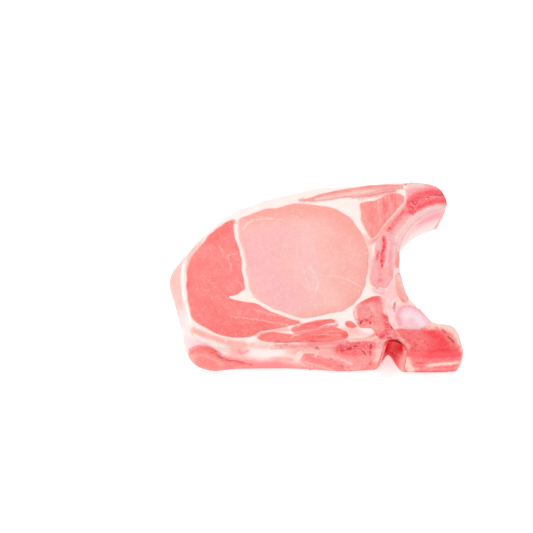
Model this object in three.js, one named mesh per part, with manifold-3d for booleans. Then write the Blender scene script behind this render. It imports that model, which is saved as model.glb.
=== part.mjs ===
// A raw pork rib chop: one slice sawn across the loin, with its rib, half of the backbone, the muscles
// and the fat that holds them together. It lies on its lower cut face.
//
// Millimetres, +Z up. X runs along the sawn midline wall, from the back fat to the rib cage, and Y runs
// away from that wall. The origin is under the middle of the chop, on the surface that it lies on.

import * as THREE from "three";
import { mergeVertices } from "three/addons/utils/BufferGeometryUtils.js";
import Module from "manifold-3d";

const wasm = await Module();
wasm.setup();

// ---- Driving dimensions -------------------------------------------------------------------------

const THICKNESS = 22; // between the two cut faces
const FAT_DROP = 0.35; // how far the fat lies below the muscles on the upper face
const SIDE_BULGE = 1.1; // how far the soft rim swells past the edge of the upper face
const EDGE_ROUND = 1.5; // rounding of the rim's upper and lower edges
const CROWN = 1.3; // width of the rounded shoulder on a large muscle
const GAP = 0.3; // clear space between tissues that touch
const THIN_SEAM = 0.9; // fat between two neighbouring muscles
const EYE_SEAM = 2.5; // fat between the loin eye and the muscle that wraps round it
const STEP = 4; // spacing of the points along an outline
const BEYOND = 4; // how far a cutter reaches past what it cuts

// Tissues, with the colour and the finish of a fresh cut.
const FINISHES = {
  fat: { color: "#fbe9e1", roughness: 0.45, metalness: 0 },
  eyeMuscle: { color: "#f8b4ab", roughness: 0.4, metalness: 0 },
  darkMuscle: { color: "#f38a83", roughness: 0.4, metalness: 0 },
  bone: { color: "#f08f8b", roughness: 0.55, metalness: 0 },
  marrow: { color: "#ee5f5f", roughness: 0.5, metalness: 0 },
  cartilage: { color: "#fbdfe0", roughness: 0.3, metalness: 0 },
  blood: { color: "#b3101d", roughness: 0.3, metalness: 0 },
};

// ---- Outlines on the upper face -----------------------------------------------------------------
// Each is a ring of [x, y] places that a smooth closed curve runs through. Two places close together
// make a corner.

const OUTLINES = {
  chop: [
    [82, 60], [85.4, 53], [84.6, 43.4], [76, 39.8], [66, 34], [57, 25], [50.2, 14], [46.2, 0], [45.5, -14],
    [47, -25], [52, -33.6], [58.5, -43.2], [67, -44], [70.6, -48], [70.4, -61.8], [69.4, -62.8], [37, -62.6],
    [24, -60.8], [0, -60.8], [-28, -59.2], [-54, -58.8], [-70, -57.4], [-79.5, -53.4], [-83, -46], [-83, -36],
    [-84.6, -22], [-83.4, -8], [-79.2, 5], [-66, 23], [-50, 37], [-31, 46.4], [-6, 54.4], [8, 58], [30, 60],
    [60, 63], [74, 62.6],
  ],
  loin_eye: [
    [-46, 32], [-38, 36], [-22.5, 41.6], [-4, 44.5], [12, 41.2], [22, 34.7], [26.8, 23], [28.3, 6], [24, -11.5],
    [16.5, -26], [7, -34], [-5, -36.6], [-18.5, -39.4], [-31, -34.3], [-42.5, -27], [-46, -17], [-45.3, 3], [-46.8, 18],
  ],
  cap_muscle: [
    [-48, 31.8], [-54, 30], [-63, 21.5], [-72.5, 9.6], [-79.4, -2], [-82, -16], [-82, -30], [-79.6, -41.5],
    [-66, -50.4], [-54.5, -52.8], [-44, -48.6], [-33, -46], [-19, -42.4], [-27, -38], [-42, -30], [-50.8, -27.6],
    [-59.8, -25.7], [-59.6, -24.9], [-53, -22.4], [-46, -14], [-46, 16], [-46.6, 26],
  ],
  multifidus_upper: [
    [-27, -47.2], [-18.8, -43], [-9, -40.8], [0.4, -39.9], [1.2, -41.6], [-6.5, -44.8], [-18.5, -47.8], [-26.4, -49],
  ],
  multifidus_lower: [
    [-47, -51.8], [-38, -48.4], [-29, -49.4], [-20, -49.8], [-10.8, -46.9], [-1, -46], [5, -48], [6.8, -51],
    [4, -54.4], [-12, -55.8], [-28, -56.2], [-42, -54.8],
  ],
  rotator_muscle: [[5, -43], [7.6, -40.9], [11, -43], [12.1, -45.6], [8.4, -46.2], [5.4, -45]],
  rib_side_muscle: [
    [29.6, 45.4], [29.6, 38], [29.2, 30], [32.2, 17.5], [42.3, 29.8], [53, 40.8], [59.6, 50], [57.4, 53.4],
    [50, 52.6], [42, 48.4], [36, 47.2],
  ],
  back_strip_muscle: [
    [-7.7, 46.8], [5.3, 51.4], [20, 55.8], [38, 59.2], [56, 61], [65, 60.2], [60, 57.8], [44.4, 54.2], [30, 50.9],
    [15.2, 48.2], [0.7, 46.2],
  ],
  rib_bone: [
    [60.8, 57], [66, 64], [84, 66], [90, 54], [86, 41], [80, 42.6], [68, 38.2], [58, 30.4], [50, 20], [45.2, 7],
    [40.9, -6], [35.6, -17], [31, -18.4], [26.6, -17], [27.2, -9], [32.8, 9.3], [38.4, 20.6], [47.4, 31], [56.6, 41.4],
    [60.4, 48.4],
  ],
  rib_cartilage: [[25.2, -20.8], [28, -18.9], [31.4, -19.4], [33.9, -21.4], [30.6, -22.6], [27, -22.3]],
  intercostal_upper: [[44.4, 9], [46.6, 8.8], [45.9, 1.8], [44.2, -4.6], [42.3, -4.2], [43.4, 2]],
  intercostal_lower: [[43, -7], [48, -9], [49, -22], [43, -29.6], [40.2, -24], [40.4, -13]],
  vertebral_arch: [
    [17.6, -28.4], [22, -25.7], [27.4, -24.3], [31.4, -26], [31, -34], [32, -44], [34, -49], [34, -60], [28, -66],
    [-14, -66], [-14.4, -60], [-2, -57.8], [9, -53.9], [17, -53.2], [21.6, -50.6], [20.4, -46.8], [13.4, -46.6],
    [12.2, -42], [11.4, -37.4], [12.8, -32.8],
  ],
  vertebral_body: [
    [33, -47.8], [42.6, -47.6], [50, -47.2], [56, -43.4], [61, -40], [80, -40], [82, -66], [40, -68], [33, -66],
    [32.4, -56],
  ],
  spinal_disc: [[37.4, -32], [42, -30.3], [47.4, -31], [54, -34], [59, -43], [52, -50], [38, -50], [34.8, -42]],
  pleura: [
    [90, 46], [80, 28], [60, 10], [60, -42], [48, -40], [38, -48], [34, -50], [30, -46], [30, -24], [36, -14],
    [42, 2], [48, 18], [58, 31.8], [70, 39.4],
  ],
};

// Meat that shows only on the midline wall, as half-buried lumps: place, half-sizes and roll about Y.
const WALL_LUMPS = {
  edge_muscle: { place: [-72.6, -59.2, 10.2], half: [13.4, 5.8, 8.6], roll: 0.2 },
  wall_muscle: { place: [-6.4, -61.2, 6.4], half: [15.4, 3.2, 11], roll: 0.22 },
  wall_tendon: { place: [-23.6, -59.6, 15.6], half: [2.2, 2, 4.2], roll: 0.3 },
};

// The lip at the corner of the rim, swollen by the edge muscle: swell is in shares of SIDE_BULGE.
const LIP = { centre: new THREE.Vector2(-78, -54), reach: 11, swell: 1.5 };

// Where the lower part of the rim spreads past its upper edge: about which place, and how far.
const SPREADS = [
  { centre: new THREE.Vector2(-82.5, 0), reach: 12, out: new THREE.Vector2(-5.6, 0.4) }, // the back fat
  { centre: new THREE.Vector2(-70, -58), reach: 11, out: new THREE.Vector2(-0.6, -2.4) }, // under the lip
  { centre: new THREE.Vector2(10, -61), reach: 13, out: new THREE.Vector2(0, -1.2) }, // under the arch
  { centre: new THREE.Vector2(71, -57), reach: 12, out: new THREE.Vector2(4.8, 0) }, // the body's free side
];

// The spinal canal, half of which the saw left as a groove that widens and deepens downwards. The lowest
// ring cuts the arch's sharp corner away.
const CANAL = {
  levels: [
    {
      z: -GAP,
      places: [
        [21.4, -68], [22.4, -63.4], [24.4, -61], [28.6, -57.2], [31.8, -53], [34.8, -49.8], [36.6, -53],
        [38.2, -57.8], [40.4, -62.2], [42, -68],
      ],
    },
    {
      z: 5,
      places: [
        [26.6, -68], [26.7, -64], [26.9, -61], [28.6, -57.2], [30.8, -53.4], [33.8, -51], [36.2, -53.2],
        [37.6, -57.4], [38.8, -62], [39.8, -68],
      ],
    },
    {
      z: THICKNESS + GAP,
      places: [
        [25.6, -68], [25.8, -64], [26, -61], [27, -58.4], [29, -56.7], [31.2, -56.4], [33.6, -57.2],
        [35.3, -59.2], [36.1, -62], [36.4, -68],
      ],
    },
  ],
  lining: 1.3,
  sides: 44,
};

// ---- Solids ---------------------------------------------------------------------------------------

// A geometry with its places alone, each shared by the faces that meet there.
function welded(geometry) {
  const bare = geometry.clone();
  bare.deleteAttribute("normal");
  bare.deleteAttribute("uv");
  return mergeVertices(bare);
}

// The manifold-3d solid of a closed, welded three.js geometry.
function solidOf(geometry) {
  return new wasm.Manifold(
    new wasm.Mesh({
      numProp: 3,
      vertProperties: geometry.attributes.position.array,
      triVerts: new Uint32Array(geometry.index.array),
    }),
  );
}

// The three.js geometry of a manifold-3d solid.
function geometryOf(solid) {
  const mesh = solid.getMesh();
  const geometry = new THREE.BufferGeometry();
  geometry.setAttribute("position", new THREE.BufferAttribute(new Float32Array(mesh.vertProperties), 3));
  geometry.setIndex(new THREE.BufferAttribute(new Uint32Array(mesh.triVerts), 1));
  geometry.computeVertexNormals();
  return geometry;
}

// The largest of the separate bodies in a solid, without the crumbs that a cut leaves.
function largestBody(solid) {
  return solid.decompose().reduce((most, body) => (body.volume() > most.volume() ? body : most));
}

// Evenly spaced points on the smooth closed curve through some places, counter-clockwise.
function smoothRing(places, points) {
  const corners = places.map(([x, y]) => new THREE.Vector3(x, y, 0));
  const curve = new THREE.CatmullRomCurve3(corners, true, "centripetal");
  const count = points ?? Math.max(16, Math.round(curve.getLength() / STEP));
  const ring = curve.getSpacedPoints(count).slice(0, count);
  const flat = ring.map((point) => new THREE.Vector2(point.x, point.y));
  return THREE.ShapeUtils.isClockWise(flat) ? flat.reverse() : flat;
}

// The ring moved out by a distance along its own normals. Where the ring is sawn it moves less.
function movedOut(ring, distance, share = () => 1) {
  return ring.map((point, i) => {
    const before = ring[(i + ring.length - 1) % ring.length];
    const after = ring[(i + 1) % ring.length];
    const along = after.clone().sub(before).normalize();
    const reach = distance * share(point);
    return new THREE.Vector2(point.x + along.y * reach, point.y - along.x * reach);
  });
}

// A closed solid that runs through rings of equal count, each at its own height, from the lowest up.
function solidThrough(levels) {
  const count = levels[0].ring.length;
  const positions = levels.flatMap(({ ring, z }) => ring.flatMap((point) => [point.x, point.y, z]));
  const index = [];
  for (let level = 0; level < levels.length - 1; level += 1) {
    for (let i = 0; i < count; i += 1) {
      const [a, b] = [level * count + i, level * count + ((i + 1) % count)];
      index.push(a, b, b + count, a, b + count, a + count);
    }
  }
  const top = (levels.length - 1) * count;
  for (const [a, b, c] of THREE.ShapeUtils.triangulateShape(levels[0].ring, [])) index.push(a, c, b);
  for (const [a, b, c] of THREE.ShapeUtils.triangulateShape(levels.at(-1).ring, [])) {
    index.push(top + a, top + b, top + c);
  }
  const geometry = new THREE.BufferGeometry();
  geometry.setAttribute("position", new THREE.Float32BufferAttribute(positions, 3));
  geometry.setIndex(index);
  return solidOf(geometry);
}

// How much of the rim's swelling a place takes: little where the saw passed, and the most where the
// edge muscle pushes the rim out into a lip.
function softness(point) {
  const { x, y } = point;
  const sawn = (y < -58 && x > -60) || (x > 60 && y < -44) || (x > 76 && y > 38);
  const lip = Math.exp(-((point.distanceTo(LIP.centre) / LIP.reach) ** 2));
  return (sawn ? 0.35 : 0.7) + LIP.swell * lip;
}

// The ring with a share of each spread that is near.
function spread(ring, share) {
  return ring.map((point) => {
    const moved = point.clone();
    for (const { centre, reach, out } of SPREADS) {
      moved.addScaledVector(out, share * Math.exp(-((point.distanceTo(centre) / reach) ** 2)));
    }
    return moved;
  });
}

// The whole slice, with its swollen rim, up to a given height. Each level of the rim has its height, how
// far it swells and its share of the spreads.
function slice(top) {
  const rim = smoothRing(OUTLINES.chop);
  const profile = [
    [0, -EDGE_ROUND, 0.8],
    [0.3 * EDGE_ROUND, -0.45 * EDGE_ROUND, 0.88],
    [EDGE_ROUND, 0, 0.93],
    [0.28 * top, 0.75 * SIDE_BULGE, 1],
    [0.5 * top, SIDE_BULGE, 0.85],
    [0.72 * top, 0.75 * SIDE_BULGE, 0.5],
    [top - EDGE_ROUND, 0, 0.1],
    [top - 0.3 * EDGE_ROUND, -0.45 * EDGE_ROUND, 0],
    [top, -EDGE_ROUND, 0],
  ];
  return solidThrough(
    profile.map(([z, out, share]) => ({ ring: spread(movedOut(rim, out, softness), share), z })),
  );
}

// A tissue that runs through the slice: upright sides and a rounded shoulder on the upper face.
function tissue(name, shoulder) {
  const ring = smoothRing(OUTLINES[name]);
  const profile = [
    [0, -GAP],
    [GAP, 0],
    [THICKNESS - 0.8 * shoulder, 0],
    [THICKNESS - 0.25 * shoulder, -0.25 * shoulder],
    [THICKNESS, -shoulder],
  ];
  return solidThrough(profile.map(([z, out]) => ({ ring: movedOut(ring, out), z })));
}

// The space that a through-going tissue takes, grown by a seam.
function spaceOf(name, seam) {
  const ring = movedOut(smoothRing(OUTLINES[name]), seam);
  return solidThrough([{ ring, z: -BEYOND }, { ring, z: THICKNESS + BEYOND }]);
}

// A half-buried lump on the midline wall, grown by a seam.
function lump(name, seam) {
  const { place, half, roll } = WALL_LUMPS[name];
  const ball = welded(new THREE.SphereGeometry(1, 24, 14));
  ball.scale(half[0] + seam, half[1] + seam, half[2] + seam);
  ball.rotateY(roll);
  ball.translate(...place);
  return solidOf(ball);
}

// The groove of the spinal canal, grown by a distance.
function canal(grow) {
  return solidThrough(
    CANAL.levels.map(({ places, z }) => ({ ring: movedOut(smoothRing(places, CANAL.sides), grow), z })),
  );
}

// ---- The chop -------------------------------------------------------------------------------------
// Bones come first, then the muscles, and the fat fills what is left. Each tissue keeps its seam to
// all that came before it.

const whole = slice(THICKNESS).subtract(canal(0));

const LUMPS = Object.keys(WALL_LUMPS).map((name) => ({
  name,
  finish: name === "wall_tendon" ? "fat" : "darkMuscle",
  seam: GAP,
  make: () => lump(name, 0),
  space: (seam) => lump(name, seam),
}));

const ORDER = [
  ...LUMPS,
  {
    name: "canal_tissue",
    finish: "blood",
    seam: GAP,
    make: () => canal(CANAL.lining),
    space: (seam) => canal(CANAL.lining + seam),
  },
  { name: "rib_bone", finish: "bone", shoulder: 0.4, seam: GAP },
  { name: "vertebral_body", finish: "marrow", shoulder: 0.4, seam: GAP },
  { name: "spinal_disc", finish: "cartilage", shoulder: 0.8, seam: GAP },
  { name: "vertebral_arch", finish: "bone", shoulder: 0.4, seam: GAP },
  { name: "rib_cartilage", finish: "cartilage", shoulder: 0.4, seam: GAP },
  { name: "intercostal_upper", finish: "darkMuscle", shoulder: 0.3, seam: GAP },
  { name: "intercostal_lower", finish: "darkMuscle", shoulder: 0.5, seam: GAP },
  { name: "loin_eye", finish: "eyeMuscle", shoulder: CROWN, seam: THIN_SEAM },
  { name: "cap_muscle", finish: "darkMuscle", shoulder: CROWN, seam: THIN_SEAM, wraps: "loin_eye" },
  { name: "multifidus_upper", finish: "darkMuscle", shoulder: 0.5, seam: THIN_SEAM },
  { name: "multifidus_lower", finish: "darkMuscle", shoulder: 0.8, seam: THIN_SEAM },
  { name: "rotator_muscle", finish: "darkMuscle", shoulder: 0.5, seam: GAP },
  { name: "rib_side_muscle", finish: "eyeMuscle", shoulder: 0.9, seam: THIN_SEAM },
  { name: "back_strip_muscle", finish: "darkMuscle", shoulder: 0.5, seam: THIN_SEAM },
  { name: "pleura", finish: "fat", shoulder: 0.3, seam: GAP },
];

const tissues = new THREE.Group();

function addNode(name, solid, finish) {
  const mesh = new THREE.Mesh(geometryOf(solid), new THREE.MeshStandardMaterial(FINISHES[finish]));
  mesh.name = name;
  tissues.add(mesh);
}

const spaces = [];
for (const { name, finish, shoulder, seam, wraps, make, space } of ORDER) {
  const uncut = (make ? make() : tissue(name, shoulder)).intersect(whole);
  const clear = wraps ? uncut.subtract(spaceOf(wraps, EYE_SEAM)) : uncut;
  const cut = spaces.reduce((left, taken) => left.subtract(taken(seam)), clear);
  addNode(name, largestBody(cut), finish);
  const grown = space ?? ((grow) => spaceOf(name, grow));
  spaces.push(wraps ? (grow) => grown(grow).subtract(spaceOf(wraps, EYE_SEAM - grow)) : grown);
}

const rest = spaces.reduce((fat, taken) => fat.subtract(taken(GAP)), slice(THICKNESS - FAT_DROP));
addNode("fat", largestBody(rest), "fat");

// The middle of the chop's outline goes over the origin.
const middle = new THREE.Box3().setFromObject(tissues).getCenter(new THREE.Vector3());
tissues.position.set(-middle.x, -middle.y, 0);

const chop = new THREE.Group();
chop.name = "pork_chop";
chop.add(tissues);

export default chop;
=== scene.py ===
# %% [markdown]
# # A raw pork rib chop
# A chop is a slice sawn across the loin. Its two cut faces show every tissue that runs through the
# slice: the pale loin eye, darker muscles round it, white fat between them, the rib and half of the
# backbone. The solids of the frame already hold where each tissue is and how large it is. This script
# gives each of them a fresh-cut surface: soft shoulders, wet meat, marbling, sawn bone and marrow.

import functools
import math

import bpy
import numpy as np
from mathutils import Matrix, Vector, geometry


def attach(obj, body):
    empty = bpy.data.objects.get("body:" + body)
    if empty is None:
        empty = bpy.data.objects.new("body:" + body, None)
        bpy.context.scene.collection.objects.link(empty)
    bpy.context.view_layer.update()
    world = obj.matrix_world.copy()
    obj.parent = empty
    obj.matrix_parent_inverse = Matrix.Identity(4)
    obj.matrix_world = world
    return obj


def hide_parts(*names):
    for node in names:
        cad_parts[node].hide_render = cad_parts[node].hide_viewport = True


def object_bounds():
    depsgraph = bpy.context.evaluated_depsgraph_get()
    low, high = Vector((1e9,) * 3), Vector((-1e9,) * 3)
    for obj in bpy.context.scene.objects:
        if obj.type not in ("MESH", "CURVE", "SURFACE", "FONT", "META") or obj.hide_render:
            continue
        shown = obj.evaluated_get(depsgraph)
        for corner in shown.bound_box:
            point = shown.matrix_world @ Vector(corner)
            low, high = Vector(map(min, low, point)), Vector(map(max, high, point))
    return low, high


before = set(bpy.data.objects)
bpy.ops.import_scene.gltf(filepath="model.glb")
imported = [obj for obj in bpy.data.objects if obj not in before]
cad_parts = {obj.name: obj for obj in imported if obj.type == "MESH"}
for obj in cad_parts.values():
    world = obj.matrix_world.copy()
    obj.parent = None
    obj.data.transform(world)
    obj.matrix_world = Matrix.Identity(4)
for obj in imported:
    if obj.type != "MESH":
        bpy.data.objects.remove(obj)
CAD_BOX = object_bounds()
MM = 0.001  # the script works in millimetres, and Blender in metres
THICKNESS = round((CAD_BOX[1][2] - CAD_BOX[0][2]) / MM, 2)
print("tissues", len(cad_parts), "slice", THICKNESS, "mm thick")

# %% [markdown]
# The camera looks down on the chop from its sawn midline side, turned a little to the left and rolled,
# as a hand-held camera is. A long lens from 0.9 m keeps the far edge nearly as large as the near one.

# %% Camera
AZIMUTH, ELEVATION, ROLL = (math.radians(turn) for turn in (-20.52, 50.0, 16.0))
LOOK_AT = Vector((-33.09, -3.03, THICKNESS)) * MM
CAMERA_DISTANCE = 0.9  # m
FOCAL_LENGTH = 106.62  # mm
SENSOR_WIDTH = 36  # mm


def camera_axes(azimuth, elevation, roll):
    """Right, up and backward axes of a camera that looks down by the elevation, swung about the
    vertical by the azimuth and then rolled about its own line of sight."""
    level = math.cos(elevation)
    back = Vector((math.sin(azimuth) * level, -math.cos(azimuth) * level, math.sin(elevation)))
    side = Vector((math.cos(azimuth), math.sin(azimuth), 0))
    tall = back.cross(side)
    right = math.cos(roll) * side + math.sin(roll) * tall
    up = math.cos(roll) * tall - math.sin(roll) * side
    return right, up, back


def add_camera():
    """The scene's camera, at its distance behind the point it looks at."""
    axes = camera_axes(AZIMUTH, ELEVATION, ROLL)
    lens = bpy.data.cameras.new("camera")
    lens.lens = FOCAL_LENGTH
    lens.sensor_width = SENSOR_WIDTH
    camera = bpy.data.objects.new("camera", lens)
    place = LOOK_AT + CAMERA_DISTANCE * axes[2]
    camera.matrix_world = Matrix.Translation(place) @ Matrix(axes).transposed().to_4x4()
    bpy.context.scene.collection.objects.link(camera)
    bpy.context.scene.camera = camera
    return camera


print("camera at", [round(v, 3) for v in add_camera().matrix_world.translation])

# %% [markdown]
# A mesh is handed to Blender as whole arrays. `foreach_set` takes flat numbers, so thousands of
# vertices go in at once, which is far faster than adding them one by one.

# %% Helpers for meshes


def mesh_from(name, places, triangles, quads):
    """A mesh from an array of places in mm and arrays of corner numbers for its triangles and quads."""
    corners = np.concatenate([triangles.ravel(), quads.ravel()]).astype(np.int32)
    starts = np.concatenate([
        3 * np.arange(len(triangles)),
        3 * len(triangles) + 4 * np.arange(len(quads)),
    ]).astype(np.int32)
    mesh = bpy.data.meshes.new(name)
    mesh.vertices.add(len(places))
    mesh.vertices.foreach_set("co", (places * MM).astype(np.float32).ravel())
    mesh.loops.add(len(corners))
    mesh.loops.foreach_set("vertex_index", corners)
    mesh.polygons.add(len(starts))
    mesh.polygons.foreach_set("loop_start", starts)
    mesh.update(calc_edges=True)
    mesh.shade_smooth()
    return mesh


def vertex_normals(places, triangles, quads):
    """Unit normals at the vertices: the sum of the face normals round each, longer for larger faces."""
    faces = np.concatenate([triangles, quads[:, :3], quads[:, [0, 2, 3]]])
    a, b, c = (places[faces[:, k]] for k in range(3))
    across = np.cross(b - a, c - a)
    total = np.zeros_like(places)
    for k in range(3):
        np.add.at(total, faces[:, k], across)
    return total / (np.linalg.norm(total, axis=1)[:, None] + 1e-12)


def smoothstep(value, low, high):
    """0 below low, 1 above high, and a smooth S between them."""
    share = np.clip((value - low) / (high - low), 0, 1)
    return share * share * (3 - 2 * share)


# %% [markdown]
# Every visible piece starts from its own solid in the frame. A level plane cuts the solid's triangles
# in short segments, and the segments chain up into the closed outline of that tissue at that height.
# Working from these cuts, and not from numbers typed in again, keeps each tissue where the frame has it.

# %% Cut the solids
SPECK = 0.5  # square mm, the smallest ring that is kept


def triangles_of(node):
    """The corners of a node's triangles, in mm."""
    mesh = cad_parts[node].data
    mesh.calc_loop_triangles()
    places = np.empty(3 * len(mesh.vertices), np.float32)
    mesh.vertices.foreach_get("co", places)
    corners = np.empty(3 * len(mesh.loop_triangles), np.int32)
    mesh.loop_triangles.foreach_get("vertices", corners)
    return places.reshape(-1, 3)[corners.reshape(-1, 3)].astype(float) / MM


TRIANGLES = {node: triangles_of(node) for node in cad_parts}


def cut(node, height):
    """Segments, (count, start or end, x or y), where a level plane cuts a node. In each triangle that
    crosses the plane one edge goes down through it and one goes up. The segment runs from the first to
    the second, which keeps the solid on its left."""
    corners = TRIANGLES[node]
    above = corners[:, :, 2] > height
    crossing = above.any(1) & ~above.all(1)
    corners, above = corners[crossing], above[crossing]
    after = np.roll(above, -1, axis=1)
    rows = np.arange(len(corners))
    ends = []
    for edge in (above & ~after, after & ~above):
        first = edge.argmax(1)
        pair = corners[rows[:, None], np.stack([first, (first + 1) % 3], axis=1)]
        pair = np.where((pair[:, 0, 2] > pair[:, 1, 2])[:, None, None], pair[:, ::-1], pair)
        share = (height - pair[:, 0, 2]) / (pair[:, 1, 2] - pair[:, 0, 2])
        ends.append((pair[:, 0] + share[:, None] * (pair[:, 1] - pair[:, 0]))[:, :2])
    segments = np.stack(ends, axis=1)
    return segments[np.abs(segments[:, 1] - segments[:, 0]).max(1) > 1e-6]


def chained(segments):
    """Closed rings of points, from segments that start where another one ends. Each ring is walked
    from segment to segment, and specks are dropped."""
    _, place = np.unique(np.round(segments.reshape(-1, 2), 4), axis=0, return_inverse=True)
    start, end = place.reshape(-1, 2).T
    following = np.full(place.max() + 1, -1)
    following[start] = np.arange(len(start))
    left = np.ones(len(start), bool)
    rings = []
    while left.any():
        here, walk = left.argmax(), []
        while left[here]:
            left[here] = False
            walk.append(here)
            here = following[end[here]]
        ring = segments[walk, 0]
        if abs(area(ring)) > SPECK:
            rings.append(ring)
    return sorted(rings, key=area, reverse=True)


def area(ring):
    """Signed area of a closed ring, positive where it runs counter-clockwise."""
    after = np.roll(ring, -1, axis=0)
    return 0.5 * float((ring[:, 0] * after[:, 1] - ring[:, 1] * after[:, 0]).sum())


def evened(ring, spacing, softening):
    """The ring with evenly spaced points, then smoothed by averaging each point with its neighbours,
    which turns the solid's short straight edges into a curve."""
    closed = np.concatenate([ring, ring[:1]])
    along = np.concatenate([[0], np.cumsum(np.linalg.norm(np.diff(closed, axis=0), axis=1))])
    count = max(12, round(along[-1] / spacing))
    at = np.arange(count) * along[-1] / count
    points = np.stack([np.interp(at, along, closed[:, k]) for k in (0, 1)], axis=1)
    return blurred(points, softening)


def blurred(values, times):
    """Values along a closed ring, each mixed with its two neighbours a number of times."""
    for _ in range(times):
        values = 0.5 * values + 0.25 * (np.roll(values, 1, axis=0) + np.roll(values, -1, axis=0))
    return values


REFERENCE = 20.5  # the height at which every tissue that reaches the upper face is at full width
print("loin eye outline", [len(ring) for ring in chained(cut("loin_eye", REFERENCE))])
print("fat outline rings", len(chained(cut("fat", REFERENCE))))

# %% [markdown]
# Distances do most of the work here: to a tissue's own edge for its rounded shoulder, to a neighbour
# for the colour that bleeds across a seam, and to a marbling line for the line itself. Looking only at
# the segments that can be nearest to a block of points keeps this quick.

# %% Distances


def nearest(points, segments, block=4.0):
    """For each point the distance to the nearest segment, the foot on it and its number. Points are
    taken in square blocks, and a block looks only at segments within reach of it."""
    distance, number = np.empty(len(points)), np.empty(len(points), int)
    foot = np.empty_like(points)
    if not len(points):
        return distance, foot, number
    start, step = segments[:, 0], segments[:, 1] - segments[:, 0]
    length = np.maximum((step**2).sum(1), 1e-12)

    def feet(some, keep):
        share = ((some[:, None] - start[keep]) * step[keep]).sum(2) / length[keep]
        place = start[keep] + np.clip(share, 0, 1)[:, :, None] * step[keep]
        return place, np.linalg.norm(some[:, None] - place, axis=2)

    _, blocks = np.unique(np.floor(points / block).astype(int), axis=0, return_inverse=True)
    order = np.argsort(blocks.ravel(), kind="stable")
    everything = np.arange(len(segments))
    for members in np.split(order, np.flatnonzero(np.diff(blocks.ravel()[order])) + 1):
        centre = points[members].mean(0, keepdims=True)
        reach = np.linalg.norm(points[members] - centre, axis=1).max()
        away = feet(centre, everything)[1][0]
        keep = everything[away <= away.min() + 2 * reach + 1e-6]
        place, apart = feet(points[members], keep)
        best = apart.argmin(1)
        rows = np.arange(len(members))
        distance[members], foot[members], number[members] = apart[rows, best], place[rows, best], keep[best]
    return distance, foot, number


def inside(points, segments):
    """True where a point is inside closed rings: a line to its right crosses them an odd number of
    times, counted row by row of equal y."""
    result = np.zeros(len(points), bool)
    if not len(points):
        return result
    _, row = np.unique(points[:, 1], return_inverse=True)
    order = np.argsort(row.ravel(), kind="stable")
    low, high = segments[:, 0], segments[:, 1]
    for members in np.split(order, np.flatnonzero(np.diff(row.ravel()[order])) + 1):
        y = points[members[0], 1]
        hit = (low[:, 1] <= y) != (high[:, 1] <= y)
        share = (y - low[hit, 1]) / (high[hit, 1] - low[hit, 1])
        crossings = np.sort(low[hit, 0] + share * (high[hit, 0] - low[hit, 0]))
        result[members] = np.searchsorted(crossings, points[members, 0]) % 2 == 1
    return result


def segments_of(rings):
    """The segments of closed rings."""
    return np.concatenate([np.stack([ring, np.roll(ring, -1, axis=0)], axis=1) for ring in rings])


# %% [markdown]
# Meat is never flat. The whole slice shares one gentle unevenness, made of a few dozen plane waves in
# random directions: long ones for how the slice settles, short ones for the pull of the saw and knife.

# %% Shared unevenness
rng = np.random.default_rng(7)


def plane_waves(count, shortest, longest):
    """Random directions, wave numbers per mm and phases for a sum of plane waves."""
    direction = rng.normal(size=(count, 3))
    direction /= np.linalg.norm(direction, axis=1)[:, None]
    number = 2 * np.pi / rng.uniform(shortest, longest, count)
    return direction * number[:, None], rng.uniform(0, 2 * np.pi, count)


def swell(places, waves):
    """The sum of the waves at each place, scaled to about -1 to 1."""
    numbers, phases = waves
    return np.sin(places @ numbers.T + phases).sum(1) / math.sqrt(2 * len(phases))


SETTLING = plane_waves(24, 16, 40)
PULLING = plane_waves(40, 3.5, 8)
SAWING = plane_waves(60, 1.1, 2.4)
WANDER = [plane_waves(30, 2.5, 9) for _ in range(3)]
SEAM_WAVES = [plane_waves(24, 6, 20) for _ in range(2)]
print("waves", [len(waves[1]) for waves in (SETTLING, PULLING, SAWING)])

# %% [markdown]
# One method makes all the tissues that run through the slice. A ring of points follows the tissue's
# outline. Carried down the rim from level to level, and drawn onto the solid's cut at each level, it
# makes the side. The upper and lower sheets are heights over a fine grid inside the ring. Where a side
# faces a neighbour it grows a little into the gap, and its edge dips in a soft shoulder, so two tissues
# meet in a shallow seam. Where a side is free it keeps the frame's rounded edge.

# %% Through-going tissue
SPACING = 0.45  # mm, between points on the upper face
LOW_SPACING = 0.9  # mm, between points on the lower face
EDGE_ROUND = 1.5  # mm, radius of the slice's free edges
RIM_STEP = 0.6  # mm, between levels on a side that shows
SEAM_PROBE = 0.45  # mm outside an outline where a neighbour is looked for
FACING_REACH = 0.35  # mm from that place within which a neighbour counts
FOLD_SHARE = 0.8  # a grown point nearer to its old ring than this share of its growth has folded over
GRID_CLEARANCE = 0.6  # of the spacing, between a sheet's grid and its last edge row
ROW_CLEARANCE = 0.93  # of an edge row's distance, where the row isn't squeezed by another edge
FAR = 99.0  # mm, stands for a distance to something that isn't there
SHIFT_BLUR = 6  # how often the shifts of a level are averaged
MOST_SHIFT = 1.2  # mm that a ring may move from one level to the next
DRAWN_ALONG = 4.0  # mm over which a seam goes along with the rim
CANAL_REACH = 7.0  # mm from the canal's lining within which a ring leans with it
UNTYING_ROUNDS = 6  # at most
LONGEST_LOOP = 30  # points of a ring that a small loop has at most


def outline_cuts(node, height):
    """Segments of a node's own cut and of the cuts of all other nodes at a height."""
    others = [cut(other, height) for other in TRIANGLES if other != node]
    return cut(node, height), np.concatenate(others)


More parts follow.
